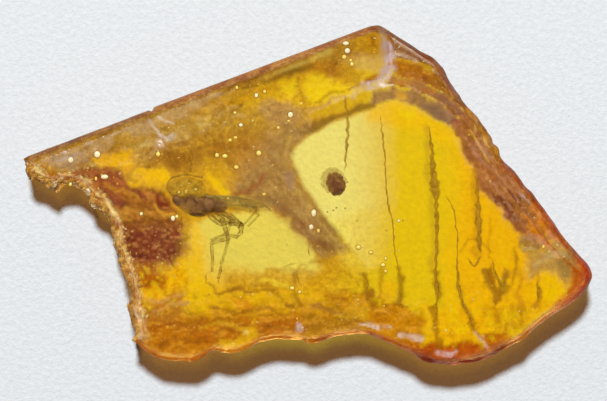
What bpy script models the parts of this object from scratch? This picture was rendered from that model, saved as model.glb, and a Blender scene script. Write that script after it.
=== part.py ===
# Insect in amber: a thin chip of polished amber with a fungus gnat and a dark crumb of
# plant debris sealed inside it.
#
# Frame: metres, +Z up. The slab lies flat on its underside with its long side along X.
# The origin is under the middle of the slab's box. Lengths below are in millimetres, and
# the places of things in the slab are measured from a point near its middle, BOX_MIDDLE off.
#
# The amber is parted in two along a level plane through the gnat, so that each half has
# an open recess: together the recesses are the sealed pockets round the gnat and the crumb.

import math
import random

import bmesh
import bpy
from mathutils import Euler, Matrix, Vector, geometry, noise

MM = 0.001

BOX_MIDDLE = (-0.034, -0.023)  # the middle of the slab's box, which becomes the origin
THICKNESS = 2.4  # underside to polished face
PARTING_HEIGHT = 1.22  # level of the plane that parts the amber
PARTING_GAP = 0.05  # slit between the two halves
WALL_LOW = 0.25  # the widest part of the edge starts at this height
BEVEL_DROP = 0.33  # and ends this far below the polished face
POCKET_DEPTH = 1.44  # height of the gnat's pocket, centred on the parting plane
CRUMB_POCKET = (0.60, 0.70, 0.45)  # half sizes of the crumb's pocket
OUTLINE_STEP = 0.40  # spacing of the outline's points
FACE_STEP = 0.95  # spacing of the points across the faces

# The edge, clockwise seen from above, in stretches. Each has its form, the width of the
# bevel round the polished face, the inset of the foot, the roughness of the break, and
# the points that it runs through. A stretch ends where the next one starts.
STRETCHES = [
    ("straight", 0.20, 0.05, 0.00, [(-11.05, 1.42), (-6.15, 3.28)]),
    ("straight", 0.24, 0.05, 0.00, [(-6.05, 3.22), (-5.95, 3.40), (2.30, 6.50)]),
    ("curved", 0.28, 0.05, 0.00, [(2.45, 6.55), (2.75, 6.58), (3.05, 6.46), (3.90, 5.92)]),
    ("curved", 0.28, 0.08, 0.02, [(4.30, 5.66), (4.90, 5.30), (5.35, 4.72), (5.70, 4.08)]),
    ("curved", 0.28, 0.08, 0.03, [(6.10, 3.58), (6.62, 2.98), (7.02, 2.42), (7.18, 2.10), (7.42, 1.78)]),
    ("curved", 0.26, 0.08, 0.02, [(7.44, 1.48), (7.95, 0.98), (8.40, 0.42), (9.00, -0.32), (9.95, -1.60)]),
    ("curved", 0.26, 0.08, 0.00, [(10.50, -2.30), (10.86, -2.70), (11.00, -3.10), (10.88, -3.48), (10.45, -3.95)]),
    ("curved", 0.22, 0.06, 0.02, [(9.70, -4.50), (9.05, -4.95), (8.62, -5.28), (8.35, -5.60), (7.70, -5.95)]),
    ("curved", 0.22, 0.06, 0.03, [(7.00, -6.28), (6.20, -6.55), (5.40, -6.60), (4.55, -6.45), (4.00, -6.16)]),
    ("curved", 0.22, 0.06, 0.02, [(3.30, -5.82), (2.55, -5.52), (2.00, -5.40), (1.25, -5.46), (0.65, -5.64)]),
    ("straight", 0.20, 0.06, 0.04, [(0.30, -5.76), (-0.15, -5.72), (-0.35, -5.60), (-1.30, -5.60), (-1.95, -5.76)]),
    ("straight", 0.22, 0.06, 0.05, [(-2.40, -6.02), (-2.95, -6.15), (-3.70, -6.04), (-4.05, -6.32), (-4.60, -6.46)]),
    ("curved", 0.24, 0.06, 0.03, [(-5.30, -6.44), (-5.95, -6.30), (-6.45, -5.95), (-6.85, -5.62)]),
    ("straight", 0.26, 0.06, 0.06, [(-6.74, -5.22), (-6.92, -4.82), (-7.08, -4.38), (-6.94, -4.00), (-7.05, -3.55)]),
    ("straight", 0.26, 0.06, 0.05, [(-7.20, -3.05), (-7.38, -2.45), (-7.58, -1.95), (-7.60, -1.50), (-7.74, -1.08)]),
    ("straight", 0.26, 0.06, 0.06, [(-8.02, -0.72), (-8.32, -0.50), (-8.52, -0.22), (-8.86, 0.14), (-9.15, 0.38)]),
    ("straight", 0.24, 0.06, 0.05, [(-9.52, 0.36), (-9.82, 0.05), (-10.08, 0.28), (-10.42, 0.48), (-10.84, 0.62), (-11.00, 1.05)]),
]

# The polished face ends at this line. Outside it the face drops to the edge as a shell-shaped break.
BREAK_LINE = [
    (1.60, 3.86), (2.50, 4.15), (3.35, 4.28), (4.20, 4.08), (4.95, 3.66), (5.55, 3.10),
    (6.05, 2.45), (6.45, 1.60), (6.95, 0.60), (7.60, -0.35), (8.35, -1.30), (9.10, -2.15), (9.95, -2.85),
]
BREAK_DROP = 0.62  # how far the break falls
BREAK_WIDTH = 1.30  # over this distance

# A low ledge across the polished face, where a flake has come off beside the sawn edge.
LEDGE = [(-6.05, 3.05), (-5.72, 2.50), (-5.25, 2.12)]
LEDGE_DROP = 0.10

POCKET_OUTLINE = [
    (-5.70, 0.55), (-5.30, 0.98), (-3.85, 1.00), (-2.60, 0.45), (-0.95, 0.15), (-0.80, -0.85),
    (-1.95, -1.45), (-2.55, -2.10), (-2.90, -3.55), (-4.05, -3.55), (-4.25, -1.60), (-5.10, -0.95), (-5.72, -0.50),
]
CRUMB_PLACE = (1.10, 0.45)


def smooth(t):
    # 0 to 1 with level ends
    t = max(0.0, min(1.0, t))
    return t * t * (3 - 2 * t)


def curve_through(points, pieces=8):
    # A Catmull-Rom curve through the points, ends included.
    ends = [2 * points[0] - points[1], *points, 2 * points[-1] - points[-2]]
    line = []
    for a, b, c, d in zip(ends, ends[1:], ends[2:], ends[3:]):
        for i in range(pieces):
            t = i / pieces
            line.append(0.5 * (2 * b + (c - a) * t + (2 * a - 5 * b + 4 * c - d) * t**2 + (3 * b - a - 3 * c + d) * t**3))
    return [*line, points[-1]]


def evenly(line, step):
    # Points about one step apart along the line, its last point left out.
    spans = [(b - a).length for a, b in zip(line, line[1:])]
    count = max(1, round(sum(spans) / step))
    out, travelled, i = [], 0.0, 0
    for k in range(count):
        goal = sum(spans) * k / count
        while i < len(spans) - 1 and travelled + spans[i] < goal:
            travelled += spans[i]
            i += 1
        out.append(line[i].lerp(line[i + 1], (goal - travelled) / spans[i]))
    return out


def outline():
    # Every outline point with its bevel, foot inset and roughness.
    found = []
    for n, (form, bevel, foot, rough, points) in enumerate(STRETCHES):
        following = STRETCHES[(n + 1) % len(STRETCHES)][4][0]
        line = [Vector(p) for p in [*points, following]]
        if form == "curved":
            found += [(p, bevel, foot, rough) for p in evenly(curve_through(line), OUTLINE_STEP)]
        else:
            for a, b in zip(line, line[1:]):
                found += [(p, bevel, foot, rough) for p in evenly([a, b], OUTLINE_STEP)]
    return found


def relaxed(values, rounds):
    # A closed run of points or numbers, each drawn to the middle of its neighbours.
    for _ in range(rounds):
        values = [(values[i - 1] + 2 * v + values[(i + 1) % len(values)]) / 4 for i, v in enumerate(values)]
    return values


def inward(points):
    # The unit normals of a clockwise loop, pointing into it.
    turned = [points[(i + 1) % len(points)] - points[i - 1] for i in range(len(points))]
    return [Vector((t.y, -t.x)).normalized() for t in turned]


def beyond(point, line):
    # How far the point lies to the left of the line, which is the outer side of the break.
    nearest, side = None, 1.0
    for a, b in zip(line, line[1:]):
        along = max(0.0, min(1.0, (point - a).dot(b - a) / (b - a).length_squared))
        offset = point - a.lerp(b, along)
        if nearest is None or offset.length < nearest:
            nearest = offset.length
            side = 1.0 if (b - a).cross(offset) > 0 else -1.0
    return nearest * side


def top_height(point):
    # The polished face, nearly level, with the break, the ledge and a faint swell.
    height = THICKNESS + 0.035 * noise.noise(Vector((point.x * 0.35, point.y * 0.35, 4.0)))
    outside = beyond(point, [Vector(p) for p in BREAK_LINE])
    fade = smooth((point.x - 1.2) / 1.6) * smooth((10.6 - point.x) / 1.2)
    if outside > 0:
        height -= BREAK_DROP * fade * smooth(outside / BREAK_WIDTH)
    flake = beyond(point, [Vector(p) for p in LEDGE])
    near = (point - Vector(LEDGE[1])).length
    if flake < 0 and near < 1.0:
        height -= LEDGE_DROP * smooth(1.0 - near)
    return height


def cap(mesh, rim, inner, height, face_up):
    # Closes a rim of vertices with triangles through the inner points.
    flat = [Vector((v.co.x, v.co.y)) / MM for v in rim]
    count = len(flat)
    edges = [(i, (i + 1) % count) for i in range(count)]
    coords, _, faces, sources, _, _ = geometry.delaunay_2d_cdt(flat + inner, edges, [], 1, 1e-5)
    made = {}
    for i, source in enumerate(sources):
        rims = [s for s in source if s < count]
        if rims:
            made[i] = rim[rims[0]]
        else:
            made[i] = mesh.verts.new(Vector((coords[i].x, coords[i].y, height(coords[i]))) * MM)
    for face in faces:
        corners = [made[i] for i in face]
        turned = (corners[1].co - corners[0].co).cross(corners[2].co - corners[0].co).z > 0
        mesh.faces.new(corners if turned == face_up else corners[::-1])


def clear_of(rim, points, margin):
    # The points that lie inside the rim, at least the margin from it.
    kept = []
    for p in points:
        crossings = 0
        near = math.inf
        for i, b in enumerate(rim):
            a = rim[i - 1]
            if (a.y > p.y) != (b.y > p.y) and p.x < a.x + (p.y - a.y) * (b.x - a.x) / (b.y - a.y):
                crossings += 1
            along = max(0.0, min(1.0, (p - a).dot(b - a) / (b - a).length_squared))
            near = min(near, (p - a.lerp(b, along)).length)
        if crossings % 2 and near > margin:
            kept.append(p)
    return kept


def face_points(rim, lines):
    # A staggered grid inside the rim, with finer points along the given lines.
    points = []
    for line in lines:
        points += evenly(line, FACE_STEP * 0.7)
    row, y = 0, -7.0
    while y < 7.0:
        x = -11.5 + (row % 2) * FACE_STEP / 2
        while x < 11.5:
            p = Vector((x, y))
            if all((p - q).length > FACE_STEP * 0.6 for q in points):
                points.append(p)
            x += FACE_STEP
        y += FACE_STEP * 0.87
        row += 1
    return clear_of(rim, points, FACE_STEP * 0.4)


def slab():
    # The whole chip as one closed mesh: foot, wall and rim rings, closed by the two faces.
    edge = outline()
    line = [p for p, _, _, _ in edge]
    calm = relaxed(line, 6)
    into = inward(relaxed(line, 3))
    bevels = relaxed([b for _, b, _, _ in edge], 3)
    feet = relaxed([f for _, _, f, _ in edge], 3)
    chips = random.Random(7)
    scar = [[chips.uniform(-1, 1) * rough for _, _, _, rough in edge] for _ in range(3)]
    foot = [p + n * f for p, n, f in zip(calm, into, feet)]
    low = [p + n * (0.04 + s) for p, n, s in zip(line, into, scar[0])]
    high = [p + n * s for p, n, s in zip(line, into, [min(0.0, s) * 0.5 + abs(s) for s in scar[1]])]
    rim = [p + n * (b + s) for p, n, b, s in zip(calm, into, bevels, scar[2])]
    mesh = bmesh.new()
    rings = []
    for points, heights in (
        (foot, [0.0] * len(edge)),
        (low, [WALL_LOW + s for s in scar[1]]),
        (high, [top_height(p) - BEVEL_DROP + s for p, s in zip(calm, scar[0])]),
        (rim, [top_height(p) for p in rim]),
    ):
        rings.append([mesh.verts.new(Vector((p.x, p.y, z)) * MM) for p, z in zip(points, heights)])
    for below, above in zip(rings, rings[1:]):
        for i in range(len(edge)):
            mesh.faces.new((below[i - 1], above[i - 1], above[i], below[i]))
    break_line = curve_through([Vector(p) for p in BREAK_LINE], 4)
    outer_line = [p + n * 0.7 for p, n in zip(break_line, [Vector((0.45, 0.89))] * len(break_line))]
    cap(mesh, rings[3], face_points(rim, [break_line, outer_line, [Vector(p) for p in LEDGE]]), top_height, True)
    cap(mesh, rings[0], face_points(foot, []), lambda point: 0.0, False)
    bmesh.ops.recalc_face_normals(mesh, faces=mesh.faces)
    return mesh


def ball(centre, radii, turn=0.0, around=12, rings=8):
    # An ellipsoid in millimetres, turned about Z by degrees.
    mesh = bmesh.new()
    bmesh.ops.create_uvsphere(mesh, u_segments=around, v_segments=rings, radius=1.0)
    shape = Matrix.Translation(Vector(centre) * MM) @ Matrix.Rotation(math.radians(turn), 4, "Z")
    bmesh.ops.transform(mesh, matrix=shape @ Matrix.Diagonal((*(r * MM for r in radii), 1.0)), verts=mesh.verts)
    return mesh


def rod(a, b, start, end, sides=6):
    # A tapered rod from a to b, run on past each end so that it overlaps the next one.
    a, b = Vector(a), Vector(b)
    run = (b - a).normalized()
    a, b = a - run * start * 0.6, b + run * end * 0.6
    mesh = bmesh.new()
    bmesh.ops.create_cone(
        mesh, cap_ends=True, segments=sides, radius1=start * MM, radius2=end * MM, depth=(b - a).length * MM
    )
    place = Matrix.Translation((a + b) / 2 * MM) @ run.to_track_quat("Z", "Y").to_matrix().to_4x4()
    bmesh.ops.transform(mesh, matrix=place, verts=mesh.verts)
    return mesh


def blade(base, tip, width, lean, thickness=0.05):
    # A wing: a thin leaf from base to tip, leaning about its long axis by degrees.
    base, tip = Vector(base), Vector(tip)
    length = (tip - base).length
    stations = [(0.0, 0.10), (0.12, 0.22), (0.35, 0.42), (0.62, 0.50), (0.82, 0.42), (0.94, 0.26), (1.0, 0.08)]
    mesh = bmesh.new()
    rows = []
    for along, half in stations:
        sag = 0.10 * math.sin(math.pi * along)
        row = [Vector((along * length, half * width * side, z + sag)) for z in (0, thickness) for side in (1, -1)]
        rows.append([mesh.verts.new(v * MM) for v in (row[0], row[1], row[3], row[2])])
    for near, far in zip(rows, rows[1:]):
        for i in range(4):
            mesh.faces.new((near[i - 1], near[i], far[i], far[i - 1]))
    mesh.faces.new(rows[0])
    mesh.faces.new(rows[-1][::-1])
    bmesh.ops.recalc_face_normals(mesh, faces=mesh.faces)
    heading = (tip - base).to_track_quat("X", "Z").to_matrix().to_4x4()
    turn = Matrix.Translation(base * MM) @ heading @ Matrix.Rotation(math.radians(lean), 4, "X")
    bmesh.ops.transform(mesh, matrix=turn, verts=mesh.verts)
    return mesh


# The gnat, seen from its side: thorax, abdomen segments, head and eyes as centre, half sizes
# and turn; then each leg's joints from hip to toe. Heights are above the parting plane.
THORAX = ((-4.62, 0.22, 0.0), (0.74, 0.50, 0.40), -8)
CHEST = ((-4.36, -0.42, 0.0), (0.76, 0.43, 0.36), -8)
HEAD = ((-5.20, -0.22, 0.0), (0.25, 0.27, 0.30), 15)
EYES = [((-5.24, -0.18, side * 0.20), (0.17, 0.20, 0.14), 15) for side in (1, -1)]
ABDOMEN_FROM, ABDOMEN_TO = Vector((-4.05, -0.30, 0.0)), Vector((-3.02, -0.66, 0.0))
ABDOMEN_SEGMENTS = 5
ABDOMEN_RADII = (0.36, 0.17)
WINGS = [
    ((-4.25, 0.12, 0.26), (-1.12, -0.34, 0.20), 0.86, 52),
    ((-4.25, 0.06, -0.26), (-1.42, -0.62, -0.24), 0.80, -48),
]
LEG_RADII = (0.085, 0.065, 0.050, 0.042, 0.036, 0.034)
LEGS = [
    [(-3.55, -0.52, 0.16), (-2.52, -1.12, 0.30), (-3.08, -1.12, 0.12), (-3.46, -0.90, 0.02)],
    [(-3.40, -0.60, -0.12), (-2.46, -1.30, -0.10), (-2.62, -1.60, 0.02), (-3.14, -1.58, 0.10), (-3.27, -1.98, 0.12),
     (-3.10, -2.36, 0.10), (-3.36, -2.86, 0.08), (-3.48, -3.26, 0.05)],
    [(-3.98, -0.55, 0.12), (-3.42, -1.16, 0.34), (-2.88, -1.46, 0.28), (-3.36, -1.60, 0.24), (-3.80, -1.74, 0.20)],
    [(-4.02, -0.55, -0.12), (-3.30, -1.02, -0.36), (-3.10, -1.70, -0.30), (-3.72, -1.88, -0.22), (-3.66, -2.50, -0.16),
     (-3.72, -3.02, -0.12)],
    [(-3.80, -0.40, 0.14), (-2.30, -0.50, 0.42), (-2.02, -0.72, 0.38), (-2.46, -1.12, 0.40)],
    [(-3.80, -0.42, -0.14), (-2.10, -0.58, -0.42), (-1.86, -0.88, -0.40), (-2.36, -1.38, -0.36)],
]
FEELERS = [
    [(-5.34, -0.02, 0.08), (-5.50, 0.38, 0.16), (-5.28, 0.70, 0.20), (-4.86, 0.80, 0.22)],
    [(-5.34, -0.04, -0.08), (-5.54, 0.30, -0.18), (-5.40, 0.62, -0.24), (-5.06, 0.78, -0.28)],
]
FEELER_RADIUS = 0.034


def insect_shapes():
    # Every shape that the gnat is joined from. The first is the one that the rest join.
    level = PARTING_HEIGHT

    def up(p):
        return Vector((p[0], p[1], p[2] + level))

    yield ball(up(THORAX[0]), *THORAX[1:], around=16, rings=10)
    yield ball(up(CHEST[0]), *CHEST[1:])
    yield ball(up(HEAD[0]), *HEAD[1:])
    for centre, radii, turn in EYES:
        yield ball(up(centre), radii, turn, around=10, rings=6)
    for i in range(ABDOMEN_SEGMENTS):
        t = i / (ABDOMEN_SEGMENTS - 1)
        radius = ABDOMEN_RADII[0] + (ABDOMEN_RADII[1] - ABDOMEN_RADII[0]) * t
        yield ball(up(ABDOMEN_FROM.lerp(ABDOMEN_TO, t)), (radius * 0.8, radius, radius * 0.9), -19)
    for base, tip, width, lean in WINGS:
        yield blade(up(base), up(tip), width, lean)
    for joints in LEGS:
        for i, (a, b) in enumerate(zip(joints, joints[1:])):
            ends = [LEG_RADII[min(k, len(LEG_RADII) - 1)] for k in (i, i + 1)]
            yield rod(up(a), up(b), *ends)
    for joints in FEELERS:
        for a, b in zip(joints, joints[1:]):
            yield rod(up(a), up(b), FEELER_RADIUS, FEELER_RADIUS * 0.8, sides=5)


def crumb():
    # A rounded, lumpy crumb, wider than it is thick.
    mesh = ball((0, 0, 0), (1, 1, 1), around=14, rings=9)
    sizes = Vector((0.29, 0.42, 0.23))
    for v in mesh.verts:
        lump = 1.0 + 0.28 * noise.noise(v.co / MM * 1.7 + Vector((3, 1, 8)))
        v.co = Vector((v.co.x * sizes.x, v.co.y * sizes.y, v.co.z * sizes.z)) * lump
    place = Vector((*CRUMB_PLACE, PARTING_HEIGHT)) * MM
    turn = Euler((0.15, -0.1, math.radians(18))).to_matrix().to_4x4()
    bmesh.ops.transform(mesh, matrix=Matrix.Translation(place) @ turn, verts=mesh.verts)
    return mesh


def pocket():
    # The gnat's pocket: an upright prism round it, with softened edges.
    middle = sum((Vector(p) for p in POCKET_OUTLINE), Vector((0, 0))) / len(POCKET_OUTLINE)
    mesh = bmesh.new()
    rings = []
    for share, inset in ((-0.5, 0.90), (-0.34, 1.0), (0.34, 1.0), (0.5, 0.90)):
        level = PARTING_HEIGHT + share * POCKET_DEPTH
        ring = [middle + (Vector(p) - middle) * (inset if abs(share) == 0.5 else 1.0) for p in POCKET_OUTLINE]
        rings.append([mesh.verts.new(Vector((p.x, p.y, level)) * MM) for p in ring])
    for below, above in zip(rings, rings[1:]):
        for i in range(len(POCKET_OUTLINE)):
            mesh.faces.new((below[i - 1], below[i], above[i], above[i - 1]))
    mesh.faces.new(rings[0])
    mesh.faces.new(rings[-1][::-1])
    bmesh.ops.recalc_face_normals(mesh, faces=mesh.faces)
    bmesh.ops.triangulate(mesh, faces=mesh.faces)
    return mesh


def box(low, high):
    mesh = bmesh.new()
    bmesh.ops.create_cube(mesh, size=1.0)
    low, high = Vector(low), Vector(high)
    shape = Matrix.Translation((low + high) / 2 * MM) @ Matrix.Diagonal((*((high - low) * MM), 1.0))
    bmesh.ops.transform(mesh, matrix=shape, verts=mesh.verts)
    return mesh


def finish(name, colour, roughness, alpha=1.0):
    material = bpy.data.materials.new(name)
    material.use_nodes = True
    shader = material.node_tree.nodes["Principled BSDF"]
    shader.inputs["Base Color"].default_value = (*colour, 1.0)
    shader.inputs["Roughness"].default_value = roughness
    shader.inputs["Metallic"].default_value = 0.0
    shader.inputs["Alpha"].default_value = alpha
    return material


def thing(name, mesh, material=None, helper=False):
    # Turns a bmesh into a named object. A helper shows as wire and isn't a part of the model.
    bmesh.ops.translate(mesh, vec=-Vector((*BOX_MIDDLE, 0.0)) * MM, verts=mesh.verts)
    data = bpy.data.meshes.new(name)
    mesh.to_mesh(data)
    mesh.free()
    made = bpy.data.objects.new(name, data)
    bpy.context.scene.collection.objects.link(made)
    if material:
        data.materials.append(material)
    if helper:
        made.hide_render = True
        made.display_type = "WIRE"
    return made


def cut(target, cutter):
    step = target.modifiers.new(cutter.name, "BOOLEAN")
    step.operation = "DIFFERENCE"
    step.solver = "EXACT"
    step.object = cutter


def build():
    for old in list(bpy.data.objects):
        bpy.data.objects.remove(old)

    amber = finish("amber", (0.86, 0.56, 0.06), 0.08, alpha=0.45)
    cuticle = finish("dark cuticle", (0.09, 0.05, 0.02), 0.45)
    debris = finish("plant debris", (0.10, 0.04, 0.03), 0.85)

    insect_pocket = thing("insect_pocket", pocket(), helper=True)
    crumb_pocket = thing(
        "crumb_pocket", ball((*CRUMB_PLACE, PARTING_HEIGHT), CRUMB_POCKET, around=16, rings=8), helper=True
    )
    above = thing(
        "space_above", box((-14, -10, PARTING_HEIGHT - PARTING_GAP / 2), (14, 10, THICKNESS + 3)), helper=True
    )
    below = thing("space_below", box((-14, -10, -3), (14, 10, PARTING_HEIGHT + PARTING_GAP / 2)), helper=True)
    for name, spare in (("amber_lower", above), ("amber_upper", below)):
        half = thing(name, slab(), amber)
        for cutter in (spare, insect_pocket, crumb_pocket):
            cut(half, cutter)

    limbs = bpy.data.collections.new("gnat_limbs")
    bpy.context.scene.collection.children.link(limbs)
    shapes = insect_shapes()
    gnat = thing("insect", next(shapes), cuticle)
    for i, shape in enumerate(shapes):
        limb = thing(f"limb_{i:02d}", shape, helper=True)
        bpy.context.scene.collection.objects.unlink(limb)
        limbs.objects.link(limb)
    join = gnat.modifiers.new("join limbs", "BOOLEAN")
    join.operation = "UNION"
    join.solver = "EXACT"
    join.operand_type = "COLLECTION"
    join.collection = limbs

    thing("debris_crumb", crumb(), debris)


build()
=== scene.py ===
import math
import random

import bpy
import numpy as np
from mathutils import Matrix, Vector, geometry, noise


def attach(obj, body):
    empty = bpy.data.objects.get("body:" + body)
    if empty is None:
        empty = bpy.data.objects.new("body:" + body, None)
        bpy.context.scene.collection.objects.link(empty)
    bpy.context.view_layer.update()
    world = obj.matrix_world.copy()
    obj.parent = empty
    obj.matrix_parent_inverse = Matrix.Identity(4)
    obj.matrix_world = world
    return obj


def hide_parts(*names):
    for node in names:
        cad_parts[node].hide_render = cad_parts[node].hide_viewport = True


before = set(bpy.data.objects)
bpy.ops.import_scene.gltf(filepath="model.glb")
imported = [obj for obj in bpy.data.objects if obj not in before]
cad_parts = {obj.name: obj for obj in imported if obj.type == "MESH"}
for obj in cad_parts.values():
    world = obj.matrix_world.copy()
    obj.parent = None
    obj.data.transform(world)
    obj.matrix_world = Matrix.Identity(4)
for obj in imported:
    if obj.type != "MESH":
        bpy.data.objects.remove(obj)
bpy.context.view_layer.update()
mm = 0.001
boxMiddle = np.array([-0.034, -0.023])  # as in the solids: the middle of the chip's box, in mm


# small helpers

def smoothStep(t):
    t = np.clip(t, 0.0, 1.0)
    return t * t * (3 - 2 * t)


def linear(colour):
    # screen colour, 0 to 255, to linear light
    c = np.array(colour, dtype=float) / 255
    return np.where(c <= 0.04045, c / 12.92, ((c + 0.055) / 1.055) ** 2.4)


def curveThrough(points, step):
    # Catmull-Rom curve through points of any width, about one step apart
    pts = [np.array(p, dtype=float) for p in points]
    ends = [2 * pts[0] - pts[1], *pts, 2 * pts[-1] - pts[-2]]
    line = []
    for a, b, c, d in zip(ends, ends[1:], ends[2:], ends[3:]):
        pieces = max(1, int(np.linalg.norm((c - b)[:3]) / step + 0.5))
        for i in range(pieces):
            t = i / pieces
            square, cube = (2 * a - 5 * b + 4 * c - d) * t**2, (3 * b - a - 3 * c + d) * t**3
            line.append(0.5 * (2 * b + (c - a) * t + square + cube))
    return np.array([*line, pts[-1]])


def pathDistance(points, path):
    # distance in mm to an open path
    best = np.full(len(points), 1e9)
    for a, b in zip(np.array(path[:-1], dtype=float), np.array(path[1:], dtype=float)):
        ab = b - a
        t = np.clip(((points - a) @ ab) / (ab @ ab), 0, 1)
        best = np.minimum(best, np.linalg.norm(points - (a + t[:, None] * ab), axis=1))
    return best


def areaDepth(points, corners):
    # how far in mm each point is inside a closed shape, negative outside
    corners = np.array(corners, dtype=float)
    depth = pathDistance(points, [*corners, corners[0]])
    inside = np.zeros(len(points), dtype=bool)
    for a, b in zip(corners, np.roll(corners, -1, axis=0)):
        if a[1] == b[1]:
            continue
        cuts = (a[1] > points[:, 1]) != (b[1] > points[:, 1])
        inside ^= cuts & (points[:, 0] < a[0] + (points[:, 1] - a[1]) * (b[0] - a[0]) / (b[1] - a[1]))
    return np.where(inside, depth, -depth)


def pathSide(points, path):
    # distance to a path, positive on its left
    best = np.full(len(points), 1e9)
    side = np.ones(len(points))
    for a, b in zip(np.array(path[:-1], dtype=float), np.array(path[1:], dtype=float)):
        ab = b - a
        t = np.clip(((points - a) @ ab) / (ab @ ab), 0, 1)
        off = points - (a + t[:, None] * ab)
        far = np.linalg.norm(off, axis=1)
        near = far < best
        best = np.where(near, far, best)
        side = np.where(near, np.where(ab[0] * off[:, 1] - ab[1] * off[:, 0] > 0, 1.0, -1.0), side)
    return best * side


def roughness(points, scale, seed, octaves=3):
    # smooth noise, about -1 to 1, with features of the scale in mm
    spots = [(p[0] / scale, p[1] / scale, seed + (p[2] / scale if len(p) > 2 else 0)) for p in points]
    return np.array([noise.fractal(Vector(spot), 0.9, 2.1, octaves) for spot in spots])


def placed(text):
    # points written as "x y, x y", in mm
    return [tuple(float(value) for value in point.split()) for point in text.split(",")]


def staggered(step, halfWidth, halfHeight):
    # points in rows, every second row shifted by half a step, and how many stand in a row
    columns, rows = np.arange(-halfWidth, halfWidth, step), np.arange(-halfHeight, halfHeight, step * 0.866)
    return np.array([(x + (i % 2) * step / 2, y) for i, y in enumerate(rows) for x in columns]), len(columns)


def ringFaces(rings, count, first=0, turned=False):
    # four-sided faces between closed rings of points that follow each other
    faces = []
    for k in range(rings - 1):
        a, b = first + k * count, first + (k + 1) * count
        for i in range(count):
            j = (i + 1) % count
            faces.append((a + i, a + j, b + j, b + i) if turned else (a + i, b + i, b + j, a + j))
    return faces


def added(name, data):
    # a new object in the scene
    made = bpy.data.objects.new(name, data)
    bpy.context.scene.collection.objects.link(made)
    return made


def makePiece(name, verts, faces, materials, slots=None):
    # verts in mm, measured as in the outline; the place goes into the mesh
    verts = np.array(verts, dtype=float)
    verts[:, 0] -= boxMiddle[0]
    verts[:, 1] -= boxMiddle[1]
    data = bpy.data.meshes.new(name)
    data.from_pydata((verts * mm).tolist(), [], [list(f) for f in faces])
    for material in materials:
        data.materials.append(material)
    if slots is not None:
        data.polygons.foreach_set("material_index", slots)
    data.shade_smooth()
    data.update()
    return added(name, data)


def paint(piece, name, colours):
    # one colour for each vertex
    layer = piece.data.color_attributes.new(name, "FLOAT_COLOR", "POINT")
    if colours.shape[1] == 3:
        colours = np.concatenate([colours, np.ones((len(colours), 1))], axis=1)
    layer.data.foreach_set("color", colours.astype(np.float32).ravel())


def mask(piece, name, values):
    layer = piece.data.attributes.new(name, "FLOAT", "POINT")
    layer.data.foreach_set("value", np.asarray(values, dtype=np.float32))


# the chip's shape

chip = {
    "thickness": 2.4,
    "edgeStep": 0.09,  # between the points round the edge
    "wallRows": 12,
    "bevelRows": 7,
    "faceStep": 0.14,  # between the points across the top
    "underStep": 0.095,  # and across the underside, which carries the stains
    "breakStart": (2.6, 0.6),  # where along x the break sets in, and over what length
    "breakDrop": 0.52,  # how far it falls from its crest to its second crease, and over what width
    "breakWidth": 1.05,
    "breakTail": 0.10,  # slope from there to the edge
    "creaseStep": 0.06,
    "waves": (0.035, 2.8),  # height and length of the slow waves of the polished face, then of its ripples
    "ripples": (0.008, 1.1),
    "shells": (0.006, 0.45),  # the same of the shell marks on the break
    "flakeDepth": 0.10,
    "biteSizes": (0.75, 0.30, 0.15),  # of the chips along the edge, its crumbs and its finest grain
}

# Finish of the old skin on the edge: darkest and lightest colour, reach across the face in mm, cover.
rimFinishes = {
    "sawn": ((132, 84, 36), (206, 168, 104), 0.05, 0.70),
    "sawnWide": ((150, 78, 32), (222, 182, 112), 0.14, 0.64),
    "corner": ((126, 74, 26), (190, 144, 78), 0.14, 0.65),
    "upperRight": ((124, 64, 22), (200, 150, 110), 0.16, 0.70),
    "chippedGold": ((150, 100, 26), (240, 204, 100), 0.20, 0.66),
    "rightEdge": ((150, 74, 22), (216, 146, 60), 0.16, 0.60),
    "tip": ((172, 66, 10), (214, 118, 26), 0.42, 0.80),
    "lowerRight": ((176, 84, 10), (230, 176, 110), 0.12, 0.75),
    "toe": ((116, 38, 6), (162, 78, 26), 0.34, 0.80),
    "hollow": ((170, 84, 14), (206, 146, 64), 0.07, 0.50),
    "honey": ((186, 112, 8), (238, 194, 84), 0.10, 0.34),
    "crust": ((176, 112, 34), (252, 228, 150), 0.30, 0.80),
}

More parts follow.
